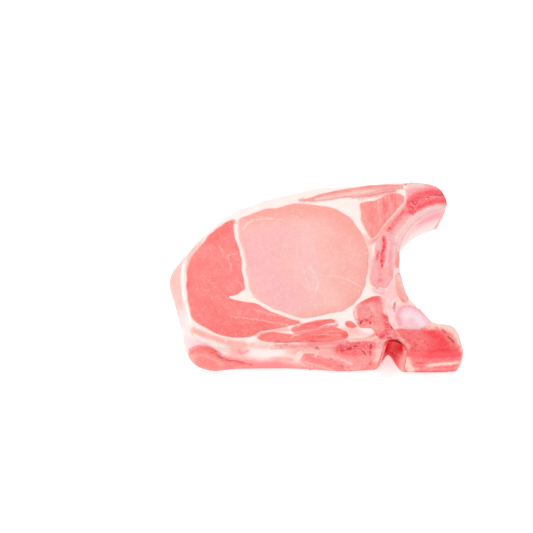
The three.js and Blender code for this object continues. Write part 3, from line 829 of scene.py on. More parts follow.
# %% Strokes on the upper face
# tissue: {stain: strokes of (width, strength, places)}, all in mm. Pits mark open, red-mottled bone.
FACE_STROKES = {
    "loin_eye": {
        "marbling": [
            (0.70, 0.60, [(-43.3, 23.1), (-40.3, 28.4), (-35.1, 31.1), (-27.2, 32.3), (-18.8, 32.0)]),
            (0.50, 0.35, [(-34.7, 34.1), (-24.6, 33.4)]),
            (0.45, 0.55, [(21.4, -18.0), (14.9, -14.3), (9.6, -10.7), (-2.7, -9.9)]),
            (0.60, 0.60, [(-7.6, -3.4), (-5.2, -10.7), (-4.9, -16.4), (-7.5, -21.4)]),
            (0.50, 0.35, [(-10.6, 18.8), (-14.0, 4.7), (-11.6, -6.3), (-10.6, -18.5), (-4.6, -17.9)]),
            (0.45, 0.28, [(-4.8, 9.9), (-6.2, -7.8)]),
            (0.50, 0.45, [(-10.3, 28.2), (-4.4, 27.5), (-2.2, 24.1)]),
            (0.45, 0.40, [(-8.4, -30.6), (-8.4, -37.6)]),
        ],
        "flush": [
            (9.0, 1.00, [(-37.4, 35.5), (-21.8, 39.5), (-3.2, 41.5), (11.6, 38.6), (21.3, 31.9)]),
            (7.0, 0.75, [(25.3, 24.0), (29.8, 5.5), (27.7, -5.6), (22.9, -18.7), (14.6, -30.3)]),
            (4.0, 0.55, [(-18.8, -38.0), (-1.0, -35.4)]),
            (4.0, 0.35, [(-43.7, 20.0), (-44.7, 0.0)]),
            (12.0, 0.45, [(12.0, 18.0), (14.0, -4.0), (8.0, -22.0)]),
        ],
        "rose": [
            (13.0, 0.85, [(-36.0, 10.0), (-34.0, -10.0), (-24.0, -26.0)]),
            (9.0, 0.55, [(-22.0, 22.0), (-10.0, 14.0), (-8.0, -8.0)]),
        ],
        "pale": [(10.0, 0.35, [(-6.0, 16.0), (-8.0, -10.0), (2.0, -26.0)])],
        "blood": [(0.8, 0.30, [(-44.4, 28.3), (-46.7, 24.6), (-46.1, 22.3)])],
    },
    "cap_muscle": {
        "marbling": [
            (0.50, 0.50, [(-49.6, 6.8), (-54.8, 4.6), (-56.9, 6.0), (-58.8, 12.2)]),
            (0.55, 0.50, [(-54.8, 4.6), (-53.7, -2.7), (-53.6, -6.3)]),
            (0.40, 0.40, [(-64.8, -17.6), (-61.3, -21.9), (-57.9, -26.1)]),
            (0.45, 0.55, [(-52.0, -12.0), (-48.8, -17.7)]),
            (0.55, 0.50, [(-58.3, -38.5), (-45.0, -40.4), (-36.7, -42.2), (-26.8, -44.3)]),
            (0.70, 0.70, [(-47.2, 29.8), (-48.6, 23.8), (-48.1, 18.6)]),
            (0.90, 0.45, [(-44.7, -33.5), (-36.7, -36.5), (-28.7, -38.6)]),
        ],
        "flush": [
            (5.0, 0.75, [(-50.3, 28.3), (-54.7, 22.3), (-61.4, 14.8)]),
            (4.5, 0.70, [(-74.0, -46.2), (-63.3, -49.7), (-52.1, -50.0)]),
            (4.0, 0.60, [(-80.9, -19.7), (-78.7, 0.2)]),
            (8.0, 0.60, [(-70.0, -32.0), (-58.0, -44.0), (-40.0, -44.5)]),
        ],
        "blood": [
            (0.45, 0.55, [(-42.0, -47.3), (-34.6, -47.0), (-27.0, -46.1)]),
            (1.6, 0.22, [(-40.7, -39.2), (-37.7, -39.6)]),
            (0.8, 0.35, [(-49.1, 24.6), (-48.9, 21.6)]),
        ],
    },
    "multifidus_lower": {
        "marbling": [
            (0.45, 0.55, [(-8.1, -49.4), (4.1, -49.1)]),
            (1.00, 0.70, [(-26.2, -49.8), (-22.4, -51.2)]),
            (0.50, 0.55, [(-16.9, -47.2), (-20.8, -49.9), (-27.0, -53.2)]),
            (0.40, 0.45, [(-12.7, -51.0), (1.3, -51.6)]),
        ],
        "flush": [
            (1.8, 0.90, [(3.6, -52.2), (7.1, -51.6)]),
            (2.2, 0.80, [(-15.6, -53.4), (-7.9, -52.4)]),
        ],
        "blood": [
            (0.6, 0.60, [(-15.9, -55.4), (-12.6, -55.9)]),
            (0.5, 0.50, [(-35.8, -55.0), (-29.2, -56.0), (-21.6, -55.6)]),
        ],
    },
    "multifidus_upper": {
        "flush": [(2.2, 0.80, [(-17.0, -44.8), (0.7, -41.4)])],
        "marbling": [(0.4, 0.4, [(-13.7, -43.2), (-3.7, -41.0)])],
    },
    "rotator_muscle": {"blood": [(0.9, 0.40, [(6.3, -43.3), (9.3, -45.6)])]},
    "rib_side_muscle": {
        "flush": [
            (2.6, 0.80, [(47.3, 47.8), (46.1, 38.4)]),
            (2.2, 0.70, [(52.4, 51.8), (52.6, 43.1)]),
            (2.2, 0.50, [(37.9, 41.4), (35.9, 30.5)]),
        ],
        "marbling": [
            (0.60, 0.40, [(42.9, 47.8), (41.5, 39.0), (41.5, 27.5)]),
            (0.60, 0.45, [(50.0, 51.7), (49.7, 44.3)]),
        ],
    },
    "back_strip_muscle": {
        "pale": [(1.6, 0.7, [(5.3, 47.8), (15.1, 49.8), (24.9, 52.0), (41.3, 55.0)])],
        "flush": [
            (1.4, 0.6, [(-2.7, 48.0), (15.3, 53.0), (36.3, 58.0), (57.3, 60.0)]),
            (1.2, 0.7, [(15.7, 50.2), (17.7, 50.8)]),
            (1.2, 0.7, [(20.7, 50.6), (22.7, 51.0)]),
        ],
    },
    "fat": {
        # The pale stroke whitens the fat along its upper left edge: a painted highlight on that edge.
        "pale": [(2.6, 0.95, [(-79.1, 12.5), (-81.0, 3.1), (-81.9, -5.5), (-82.6, -14.8), (-82.9, -24.6)])],
        "blood": [
            (0.55, 0.60, [(26.9, 49.4), (30.9, 50.1), (37.3, 51.3), (42.6, 52.6), (55.3, 55.5)]),
            (0.55, 0.50, [(-35.8, -56.6), (-29.2, -57.4)]),
            (0.8, 0.80, [(-13.1, -59.6), (-12.3, -59.6)]),
        ],
        "flush": [
            (1.3, 0.60, [(-35.7, -57.8), (-26.7, -58.0), (-14.7, -58.4)]),
            (1.4, 0.85, [(-23.1, -49.6), (-18.1, -48.8), (-13.3, -47.5), (-8.5, -46.3),
                          (-3.6, -45.2), (1.3, -44.6)]),
            (1.5, 0.85, [(-16.7, -57.4), (-7.0, -57.2), (-1.2, -56.8), (5.3, -56.2)]),
            (0.9, 0.60, [(34.1, 16.0), (38.9, 20.0), (43.3, 26.0), (49.3, 32.4), (55.3, 38.6)]),
        ],
        "rose": [
            (1.8, 0.75, [(-80.3, -47.0), (-79.3, -47.6)]),
            (2.0, 0.90, [(-76.8, -49.0), (-75.6, -49.7)]),
            (1.6, 0.70, [(-72.8, -51.0), (-72.0, -51.4)]),
            (1.8, 0.90, [(-69.9, -52.3), (-68.7, -53.0)]),
            (1.8, 0.90, [(-66.5, -54.2), (-65.5, -54.6)]),
            (2.0, 0.95, [(-61.3, -55.7), (-60.0, -56.1)]),
            (1.5, 0.80, [(-57.0, -56.3), (-56.4, -56.4)]),
            (1.6, 0.85, [(-53.7, -56.8), (-52.9, -57.0)]),
            (1.4, 0.70, [(-49.7, -56.9), (-48.8, -57.0)]),
            (4.5, 0.60, [(-44.7, -57.6), (-28.7, -58.6), (-8.7, -57.6), (7.3, -55.6)]),
            (3.6, 0.45, [(-80.5, -46.6), (-73.0, -50.6), (-64.0, -54.4), (-55.0, -56.6)]),
            (2.0, 0.85, [(36.0, 51.8), (46.0, 53.6), (55.0, 55.4)]),
            (2.6, 0.55, [(-43.6, 14.0), (-42.7, -4.0), (-41.7, -14.0)]),
            (1.6, 0.75, [(-45.2, -50.3), (-40.0, -49.0), (-33.0, -47.7), (-27.2, -47.4)]),
            (2.4, 0.55, [(29.3, 20.0), (30.3, 6.0), (27.3, -12.0)]),
            (2.6, 0.90, [(33.1, 15.5), (37.8, 19.5), (42.3, 25.5), (48.7, 32.0), (54.8, 38.6),
                          (60.3, 44.5), (62.8, 50.0)]),
            (2.0, 0.60, [(31.3, 49.0), (53.3, 55.0)]),
            (2.0, 0.55, [(5.3, -47.0), (13.3, -48.0)]),
            (3.0, 0.50, [(9.2, -50.0), (21.5, -52.5)]),
        ],
    },
    "rib_bone": {
        "flush": [
            (4.2, 1.00, [(62.5, 45.0), (69.4, 50.5), (76.0, 53.6), (84.4, 53.8), (88.0, 49.3)]),
            (2.8, 0.95, [(61.8, 38.6), (67.3, 42.2), (72.7, 45.2), (79.4, 47.3), (86.0, 48.0)]),
            (2.4, 0.70, [(45.0, 24.5), (50.4, 31.5), (57.0, 38.6)]),
            (1.5, 0.75, [(41.0, 19.0), (39.9, 12.0), (38.0, 6.0), (36.4, -2.4)]),
            (1.1, 0.65, [(35.2, 8.0), (34.2, 3.0)]),
            (2.2, 0.30, [(28.3, -15.6), (32.4, -13.8)]),
            (1.2, 0.50, [(40.6, 18.0), (39.6, 11.0), (37.4, 5.0), (35.8, -4.0)]),
            (1.6, 0.35, [(32.6, -13.0), (33.6, -6.0), (33.4, 2.0)]),
            (1.4, 0.35, [(39.6, -9.0), (41.6, 0.0), (42.9, 9.0)]),
        ],
        "rose": [
            (2.0, 0.60, [(35.6, 14.0), (33.6, 5.5), (32.6, -4.0), (30.3, -11.9)]),
            (2.0, 0.50, [(46.0, 20.0), (44.0, 8.0), (41.0, -3.0)]),
        ],
        "pits": [
            (3.0, 0.90, [(62.0, 42.0), (67.0, 46.0), (77.0, 50.0)]),
            (1.6, 0.70, [(47.0, 27.0), (52.0, 33.0)]),
        ],
        "blood": [
            (0.48, 0.68, [(40.3, 17.4), (40.0, 16.0)]),
            (0.48, 0.68, [(39.9, 12.8), (39.6, 11.2)]),
            (0.44, 0.64, [(38.9, 9.7), (38.5, 8.5)]),
            (0.48, 0.68, [(37.3, 7.0), (36.8, 5.8)]),
            (0.40, 0.56, [(34.3, 5.6), (33.9, 4.4)]),
            (0.52, 0.71, [(36.6, 1.5), (36.1, 0.3)]),
            (0.48, 0.68, [(36.1, -1.8), (35.8, -3.2)]),
            (0.60, 0.64, [(46.0, 26.4), (46.3, 25.4)]),
            (0.64, 0.52, [(64.5, 46.4), (64.9, 45.4)]),
            (0.48, 0.56, [(65.8, 45.0), (66.1, 44.0)]),
            (0.72, 0.60, [(63.6, 42.3), (63.9, 41.0)]),
        ],
        "dry": [
            (0.80, 0.75, [(79.8, 52.2), (82.5, 51.7), (83.9, 52.8), (85.2, 52.3)]),
            (0.50, 0.60, [(86.2, 46.0), (86.5, 44.8)]),
        ],
        "pale": [
            (2.3, 1.00, [(85.8, 42.2), (74.3, 40.5), (67.3, 37.0), (61.3, 32.4), (55.6, 26.1), (50.4, 19.0)]),
            (1.6, 0.45, [(48.6, 18.0), (44.9, 6.0), (42.2, -5.0)]),
            (0.9, 0.50, [(43.6, 18.0), (41.9, 9.3), (39.4, 1.8), (37.2, -3.8)]),
            (1.3, 0.75, [(60.5, 50.4), (53.4, 42.6), (45.6, 34.8), (39.6, 27.1), (35.4, 20.4), (33.2, 13.0)]),
            (0.8, 0.60, [(50.3, 38.0), (43.6, 29.6), (40.0, 22.5)]),
            (2.6, 0.75, [(58.0, 57.0), (63.3, 58.6), (73.3, 61.0)]),
        ],
    },
    "rib_cartilage": {"flush": [(1.0, 0.8, [(26.0, -22.9), (32.4, -23.4)])]},
    "vertebral_arch": {
        "pits": [
            (5.0, 0.90, [(15.0, -42.5), (20.3, -41.0), (21.3, -37.5)]),
            (2.4, 0.90, [(30.5, -40.0), (30.7, -49.0)]),
            (3.0, 0.80, [(24.3, -52.0), (29.3, -53.4)]),
            (4.0, 0.90, [(0.3, -60.0), (7.3, -57.6), (19.3, -58.6)]),
        ],
        "flush": [
            (3.4, 0.75, [(19.1, -27.6), (25.5, -26.1), (30.5, -26.6)]),
            (2.4, 0.80, [(30.3, -38.0), (30.5, -48.4), (25.8, -52.5)]),
            (3.4, 0.60, [(-0.7, -60.6), (7.3, -58.0), (17.3, -59.0)]),
            (2.4, 0.50, [(16.3, -42.0), (21.3, -41.4)]),
        ],
        "blood": [
            (0.76, 0.85, [(15.5, -43.5), (16.3, -42.3)]),
            (0.48, 0.81, [(19.1, -42.0), (19.9, -41.6)]),
            (0.60, 0.81, [(20.9, -43.9), (21.4, -43.0)]),
            (0.40, 0.66, [(18.1, -40.9), (18.8, -40.8)]),
            (0.40, 0.57, [(16.9, -45.2), (17.3, -44.6)]),
            (0.56, 0.62, [(26.4, -52.5), (27.6, -52.2)]),
            (0.68, 0.76, [(28.9, -54.1), (31.2, -53.8)]),
            (0.48, 0.57, [(25.2, -53.7), (25.9, -53.3)]),
            (0.60, 0.76, [(18.9, -58.0), (17.9, -60.2)]),
            (0.56, 0.76, [(5.9, -60.5), (6.7, -60.0)]),
            (0.68, 0.81, [(9.0, -59.6), (10.3, -59.0)]),
        ],
        "dry": [
            (0.50, 0.80, [(31.5, -38.7), (32.9, -41.9)]),
            (0.70, 0.95, [(32.9, -44.2), (33.2, -47.2)]),
        ],
        "pale": [
            (2.2, 0.95, [(32.3, -24.8), (32.7, -30.3), (31.7, -36.1)]),
            (1.5, 0.80, [(26.0, -61.0), (27.6, -58.6), (30.6, -56.6)]),
            (1.8, 0.75, [(13.9, -33.0), (13.3, -38.0), (13.6, -41.0)]),
            (1.5, 0.80, [(7.3, -55.0), (17.3, -54.6), (22.3, -53.3)]),
            (1.6, 0.40, [(23.3, -30.0), (25.3, -38.0)]),
            (1.4, 0.50, [(21.5, -57.0), (25.0, -56.0), (30.0, -55.4)]),
        ],
    },
    "vertebral_body": {
        "flush": [
            (4.4, 1.00, [(54.0, -48.6), (58.0, -52.6), (60.6, -57.0), (60.4, -61.5)]),
            (3.0, 0.40, [(52.1, -56.0), (56.0, -59.6), (60.3, -62.0)]),
            (3.0, 0.30, [(41.0, -55.0), (42.0, -61.0)]),
        ],
        "pits": [
            (4.0, 0.80, [(41.3, -53.0), (44.9, -57.0), (43.3, -61.5)]),
            (3.0, 0.60, [(47.3, -54.0), (51.3, -58.0)]),
        ],
        "blood": [
            (0.60, 0.45, [(43.9, -58.0), (44.7, -59.0)]),
            (0.50, 0.40, [(42.6, -60.3), (43.4, -61.0)]),
            (0.75, 0.70, [(36.5, -60.6), (38.0, -61.8)]),
        ],
        "pale": [
            (3.2, 1.00, [(54.4, -44.2), (61.8, -45.0), (67.8, -47.6), (71.4, -53.5), (73.0, -61.0)]),
            (1.6, 0.35, [(41.8, -47.9), (48.8, -47.5), (56.3, -47.4)]),
            (1.4, 0.35, [(34.7, -47.0), (35.9, -53.4)]),
            (1.4, 0.45, [(36.6, -54.8), (39.4, -57.6), (40.6, -61.4)]),
        ],
        "dry": [
            (0.6, 0.70, [(62.9, -48.6), (64.0, -50.6)]),
            (0.7, 0.90, [(65.0, -53.6), (67.4, -57.3)]),
            (0.9, 1.00, [(34.2, -55.2), (35.9, -57.4)]),
        ],
    },
    "spinal_disc": {
        "pale": [(3.4, 0.85, [(42.8, -38.9), (46.2, -37.3), (49.5, -40.2), (51.7, -44.6)])],
        "flush": [(1.8, 0.60, [(38.3, -44.0), (39.3, -36.0), (45.3, -31.6), (53.3, -35.6), (57.3, -41.0)])],
        "dry": [(0.5, 0.75, [(38.5, -30.9), (36.2, -35.3)])],
    },
    "pleura": {"dry": [(0.5, 0.75, [(38.7, -29.4), (36.5, -33.0)])]},
    "intercostal_upper": {"pale": [(0.9, 0.5, [(43.9, 6.0), (43.3, -3.0)])]},
    "intercostal_lower": {
        "blood": [
            (0.55, 0.50, [(42.5, -25.8), (43.8, -28.4)]),
            (0.50, 0.45, [(43.7, -8.6), (45.2, -7.6)]),
        ],
        "pale": [(1.6, 0.7, [(44.3, -11.0), (45.3, -18.0), (46.9, -24.0)])],
    },
}
print("face strokes", sum(len(strokes) for stains in FACE_STROKES.values() for strokes in stains.values()))

# %% Strokes on the midline wall
# The same, with places (x, height above the lower face)
WALL_STROKES = {
    "fat": {
        "blood": [
            (0.8, 0.75, [(-57.0, 9.6), (-52.7, 8.2), (-50.0, 6.8), (-46.6, 5.6)]),
        ],
        "flush": [
            (7.5, 0.95, [(-58.0, 5.0), (-50.0, 4.6), (-42.0, 3.8), (-34.0, 3.2)]),
            (4.6, 0.75, [(-34.0, 2.8), (-22.0, 2.2), (-10.0, 1.6), (2.0, 1.0)]),
            (1.2, 0.60, [(-56.0, 19.0), (-54.0, 16.5), (-51.0, 18.6)]),
            (1.4, 0.45, [(-38.0, 20.4), (-31.0, 20.0)]),
            (2.0, 0.35, [(-34.7, 12.0), (-24.7, 10.6)]),
        ],
        "rose": [
            (3.0, 0.60, [(-60.0, 14.5), (-52.0, 12.6), (-46.0, 11.0)]),
            (3.4, 0.80, [(-58.0, 18.4), (-52.0, 17.4), (-47.4, 15.4)]),
            (4.0, 0.45, [(-32.7, 8.0), (-22.7, 7.0)]),
            (3.0, 0.60, [(-28.7, 18.0), (-14.7, 19.5), (-4.7, 20.5)]),
        ],
        "pale": [(6.0, 0.90, [(-47.0, 16.0), (-40.0, 14.5), (-34.0, 19.0)])],
        "lilac": [(4.0, 0.80, [(-83.0, 4.0), (-84.0, 11.0), (-81.0, 16.5), (-75.0, 19.5)])],
    },
    "edge_muscle": {
        "flush": [
            (2.4, 0.60, [(-72.8, 9.8), (-76.1, 6.5), (-69.0, 5.1)]),
            (1.6, 0.60, [(-74.0, 11.0), (-68.0, 9.6), (-60.0, 6.4)]),
        ],
        "blood": [
            (0.7, 0.95, [(-71.6, 17.4), (-69.7, 16.8)]),
            (0.7, 0.95, [(-67.1, 15.7), (-64.9, 14.3)]),
            (0.7, 0.90, [(-62.3, 12.6), (-59.7, 11.2)]),
            (0.6, 0.60, [(-58.0, 10.0), (-56.0, 9.0)]),
        ],
        "pale": [
            (2.0, 0.45, [(-78.4, 4.0), (-79.6, 9.0), (-78.0, 13.0), (-74.9, 15.2), (-70.9, 14.4),
                         (-65.1, 11.4)]),
        ],
    },
    "wall_tendon": {"dry": [(0.9, 0.50, [(-22.1, 13.0), (-20.7, 10.0)])]},
    "wall_muscle": {
        "rose": [
            (3.0, 0.9, [(-20.6, 9.0), (-20.6, 16.0)]),
            (1.2, 0.6, [(-18.0, 17.0), (-8.0, 14.0), (0.0, 9.4)]),
        ],
        "flush": [(2.4, 0.60, [(-18.5, 15.0), (-10.8, 12.4), (-2.1, 6.7)])],
        "pale": [
            (1.8, 0.50, [(-17.4, 8.7), (-8.7, 6.4), (0.3, 2.6)]),
            (1.0, 0.40, [(-13.0, 15.0), (-5.0, 10.8)]),
        ],
    },
    "vertebral_arch": {
        "pits": [
            (3.4, 1.00, [(0.3, 20.0), (7.3, 19.0), (15.3, 17.6), (19.3, 16.6)]),
            (2.4, 0.80, [(19.7, 9.0), (16.3, 11.0)]),
            (4.0, 0.70, [(1.3, 9.0), (9.3, 4.0)]),
        ],
        "blood": [
            (0.72, 0.81, [(1.2, 20.3), (3.2, 20.0)]),
            (0.68, 0.81, [(4.4, 21.0), (6.0, 21.4)]),
            (0.56, 0.81, [(13.3, 19.9), (14.2, 18.8)]),
            (0.64, 0.81, [(14.9, 18.1), (16.0, 16.8)]),
            (0.48, 0.66, [(12.4, 21.0), (13.2, 21.0)]),
            (0.64, 0.76, [(18.2, 19.3), (18.9, 17.0)]),
            (0.48, 0.66, [(20.4, 8.9), (20.7, 7.6)]),
            (0.40, 0.47, [(15.3, 13.5), (16.0, 12.8)]),
            (0.36, 0.47, [(7.2, 13.0), (7.8, 12.4)]),
        ],
        "dry": [
            (0.60, 0.60, [(-3.6, 13.0), (0.0, 10.6)]),
            (0.65, 0.65, [(3.8, 7.6), (6.2, 5.6)]),
            (0.45, 0.50, [(4.0, 10.0), (4.9, 9.6)]),
            (0.55, 0.60, [(9.6, 3.2), (10.6, 2.6)]),
            (0.80, 0.85, [(12.4, 0.9), (14.4, 0.8)]),
            (0.45, 0.50, [(17.6, 1.4), (18.4, 1.6)]),
        ],
        "flush": [(3.4, 0.60, [(1.3, 19.6), (17.3, 17.0)]), (2.6, 0.45, [(21.6, 8.0), (19.3, 2.0)])],
        "pale": [
            (3.0, 0.70, [(23.4, 20.0), (24.4, 12.0)]),
            (1.6, 0.60, [(-6.7, 15.0), (1.3, 14.0), (9.3, 9.0)]),
            (1.4, 0.50, [(1.3, 3.0), (15.3, 4.0)]),
        ],
    },
    "vertebral_body": {
        "flush": [
            (3.4, 0.60, [(41.0, 18.6), (53.7, 17.5)]),
            (3.8, 0.95, [(53.7, 19.5), (62.0, 18.5), (70.0, 18.6)]),
            (1.5, 0.80, [(44.0, 1.0), (57.8, 1.2), (72.6, 1.6)]),
            (1.2, 0.50, [(56.0, 6.4), (70.0, 6.8)]),
        ],
        "pale": [
            (2.8, 0.95, [(39.6, 14.0), (42.3, 9.0), (46.0, 3.4)]),
            (1.8, 0.90, [(55.0, 8.4), (61.6, 9.9), (70.9, 10.3)]),
            (2.2, 0.30, [(49.3, 5.0), (70.3, 4.6)]),
            (2.4, 0.90, [(74.0, 20.0), (74.8, 12.0), (75.6, 4.0)]),
        ],
        "blood": [
            (0.6, 0.75, [(46.9, 11.3), (51.6, 11.1)]),
            (0.6, 0.55, [(48.8, 1.9), (53.0, 1.8)]),
            (0.8, 0.70, [(37.7, 20.3), (38.6, 18.6)]),
        ],
    },
}
print("wall strokes", sum(len(strokes) for stains in WALL_STROKES.values() for strokes in stains.values()))

# %% Turn strokes into attributes
WANDER_REACH = 0.35  # mm that a stroke wanders to either side
STROKE_REACH = 4  # widths from a stroke beyond which it leaves no mark


def stained(places, strokes, lifted):
    """How strongly strokes mark each place: the strength of a stroke times a bell curve of the distance
    to it. Overlapping strokes add up without passing 1."""
    clear = np.ones(len(places))
    for width, strength, line in strokes:
        path = lifted(smooth_curve(line))
        box = (path.min(0) - STROKE_REACH * width, path.max(0) + STROKE_REACH * width)
        near = np.flatnonzero(((places > box[0]) & (places < box[1])).all(1))
        segments = np.stack([path[:-1], path[1:]], axis=1)
        away = nearest(places[near], segments)[0]
        clear[near] *= 1 - strength * np.exp(-((away / width) ** 2))
    return 1 - clear


def on_face(path):
    """Places on the upper face, at its nominal height."""
    return np.column_stack([path, np.full(len(path), THICKNESS)])


def on_wall(path):
    """Places on the midline wall, at the depth where it lies."""
    return np.column_stack([path[:, 0], wall_depth(path[:, 0], path[:, 1], 0.0), path[:, 1]])


def stains_of(node, places, on_top):
    """Every stain's attribute for a skin. Points of the upper sheet count as lying at its height."""
    wander = WANDER_REACH * np.stack([swell(places, waves) for waves in WANDER], axis=1)
    flat = places.copy()
    flat[on_top, 2] = THICKNESS
    face, wall = flat + wander * [1, 1, 0], places + wander
    on_faces, on_walls = FACE_STROKES.get(node, {}), WALL_STROKES.get(node, {})
    in_space = SPACE_STROKES.get(node, {})
    result = {}
    for stain in sorted({*on_faces, *on_walls, *in_space}):
        clear = 1 - stained(face, on_faces.get(stain, []), on_face)
        clear *= 1 - stained(wall, on_walls.get(stain, []), on_wall)
        result[stain] = 1 - clear * (1 - stained(wall, in_space.get(stain, []), lambda path: path))
    return result


# %% [markdown]
# Muscle is made of bundles of fibres, and sawn bone of struts, and both run along the piece. A guide
# curve gives each tissue its direction. Every point keeps the nearest place on the guide and its
# signed distance to it, and a pattern that is long in the first and short in the second makes streaks
# that follow the curve.

# %% Fibre directions
GUIDES = {
    "cap_muscle": [
        (-43.7, 36), (-58.7, 16), (-66.7, -8), (-66.7, -30), (-56.7, -42), (-38.7, -44), (-15.7, -43),
    ],
    "rib_side_muscle": [(47.3, 56), (43.3, 40), (37.3, 22)],
    "back_strip_muscle": [(-18.7, 43), (11.3, 49), (36.3, 54), (57.3, 60)],
    "multifidus_upper": [(-22.7, -46), (-6.7, -42.5), (5.3, -41)],
    "multifidus_lower": [(-38.7, -55), (-22.7, -51), (-6.7, -51), (10.3, -50)],
    "rotator_muscle": [(4.3, -43), (10.3, -46)],
    "intercostal_upper": [(45.3, 10), (44.3, -6)],
    "intercostal_lower": [(42.3, -9), (43.9, -18), (46.3, -28)],
    "rib_bone": [(91.3, 50), (73.3, 47), (59.3, 38), (45.3, 25), (38.3, 12), (34.3, -12)],
    "vertebral_arch": [(21.3, -26), (23.3, -40), (28.3, -52), (25.3, -62)],
    "edge_muscle": [(-80.7, -50), (-58.7, -57), (-38.7, -60)],
    "wall_muscle": [(-18.7, -60), (9.3, -60)],
    "fat": [
        (80, 62), (60, 63.7), (24, 60), (0, 57), (-24, 49.7), (-48, 39), (-66, 23.7), (-80, 9.4),
        (-86.7, 0), (-82.7, -44), (-58.7, -56), (-28.7, -59), (1.3, -58), (21.3, -53),
    ],
}
FAN_CENTRE = (50.0, -64.0)  # where the struts of the vertebra's body spread from, mm
FAN_REACH = 16.0  # mm from there at which their streaks have their true width
STRUT_SLANT, FIBRE_SLANT = 0.2, 0.6  # mm that streaks move across per mm of height


def fibre_places(node, places):
    """Places in the fibre's own frame: two along the guide, one across it."""
    flat = places[:, :2]
    if node == "vertebral_body":
        spoke = flat - FAN_CENTRE
        angle = np.arctan2(spoke[:, 1], spoke[:, 0])
        reach = np.linalg.norm(spoke, axis=1)
        return np.column_stack([reach, np.zeros(len(flat)), FAN_REACH * angle + STRUT_SLANT * places[:, 2]])
    if node not in GUIDES:
        return places[:, [0, 2, 1]]
    path = smooth_curve(GUIDES[node])
    segments = np.stack([path[:-1], path[1:]], axis=1)
    away, foot, number = nearest(flat, segments, block=8.0)
    along = (segments[:, 1] - segments[:, 0])[number]
    beside = flat - foot
    side = np.sign(along[:, 0] * beside[:, 1] - along[:, 1] * beside[:, 0])
    return np.column_stack([foot, side * away + FIBRE_SLANT * places[:, 2]])


# %% [markdown]
# One piece per tissue. It stands for its solid, rides on the only body, takes that tissue's material
# slot, and carries its stains, its distance to a seam, its height and its fibres as attributes.

# %% Pieces
FORM_OF = {node: "muscle" for node in TRIANGLES}
FORM_OF.update(
    fat="fat", pleura="fat", rib_bone="bone", vertebral_arch="bone", vertebral_body="bone",
    spinal_disc="cartilage", rib_cartilage="cartilage", canal_tissue="cartilage",
)
ROUGH = {"fat": 0.0, "muscle": 0.02, "bone": 0.05, "cartilage": 0.0}  # mm, height of the saw's marks
LENSES = {
    # outline (along the wall, height), turn of the wall, how proud and how deep (mm)
    "edge_muscle": (
        [
            (-56.8, 0.9), (-58.4, 8.4), (-57.4, 14.0), (-54.3, 17.8), (-50.3, 19.4), (-45.6, 18.8),
            (-40.4, 15.2), (-34.6, 11.6), (-29.0, 8.6), (-24.6, 5.2), (-30.6, 2.2), (-38.4, 0.7),
            (-46.0, 0.5), (-52.7, 0.5),
        ],
        math.radians(-20), 1.2, 3.5,
    ),
    "wall_muscle": (
        [(-19.7, 15.8), (-16.1, 17.2), (-7.7, 13.8), (0.3, 9.0), (7.3, 3.6), (8.7, 1.4), (-0.7, 1.8),
         (-10.7, 3.6), (-18.3, 7.0), (-20.3, 11.0)],
        0.0, 0.6, 2.6,
    ),
    "wall_tendon": (
        [(-20.9, 19.7), (-19.3, 17.2), (-19.6, 13.6), (-21.3, 11.4), (-23.5, 12.6), (-24.1, 15.8),
         (-22.9, 18.8)],
        0.0, 0.9, 1.6,
    ),
}
DENT = {"blood": 0.25, "dry": 0.1, "marbling": -0.06}  # mm that a full stain sinks
SEAM_LIMIT = 50.0  # mm, the largest distance to a seam that is kept
SIDE_TOP, SIDE_FOOT = (0.8, 3.0), (0.5, 2.0)  # mm below the top and above the foot: a side fades in


def lens_edge(node, first, last):
    """Places in space along a part of a lens's outline, from one of its points to another."""
    outline, turn = LENSES[node][:2]
    path = np.array(outline[first:last])
    depth = wall_depth(path[:, 0], path[:, 1], turn)
    x = path[:, 0] * math.cos(turn) - depth * math.sin(turn)
    y = path[:, 0] * math.sin(turn) + depth * math.cos(turn)
    return np.column_stack([x, y, path[:, 1]])


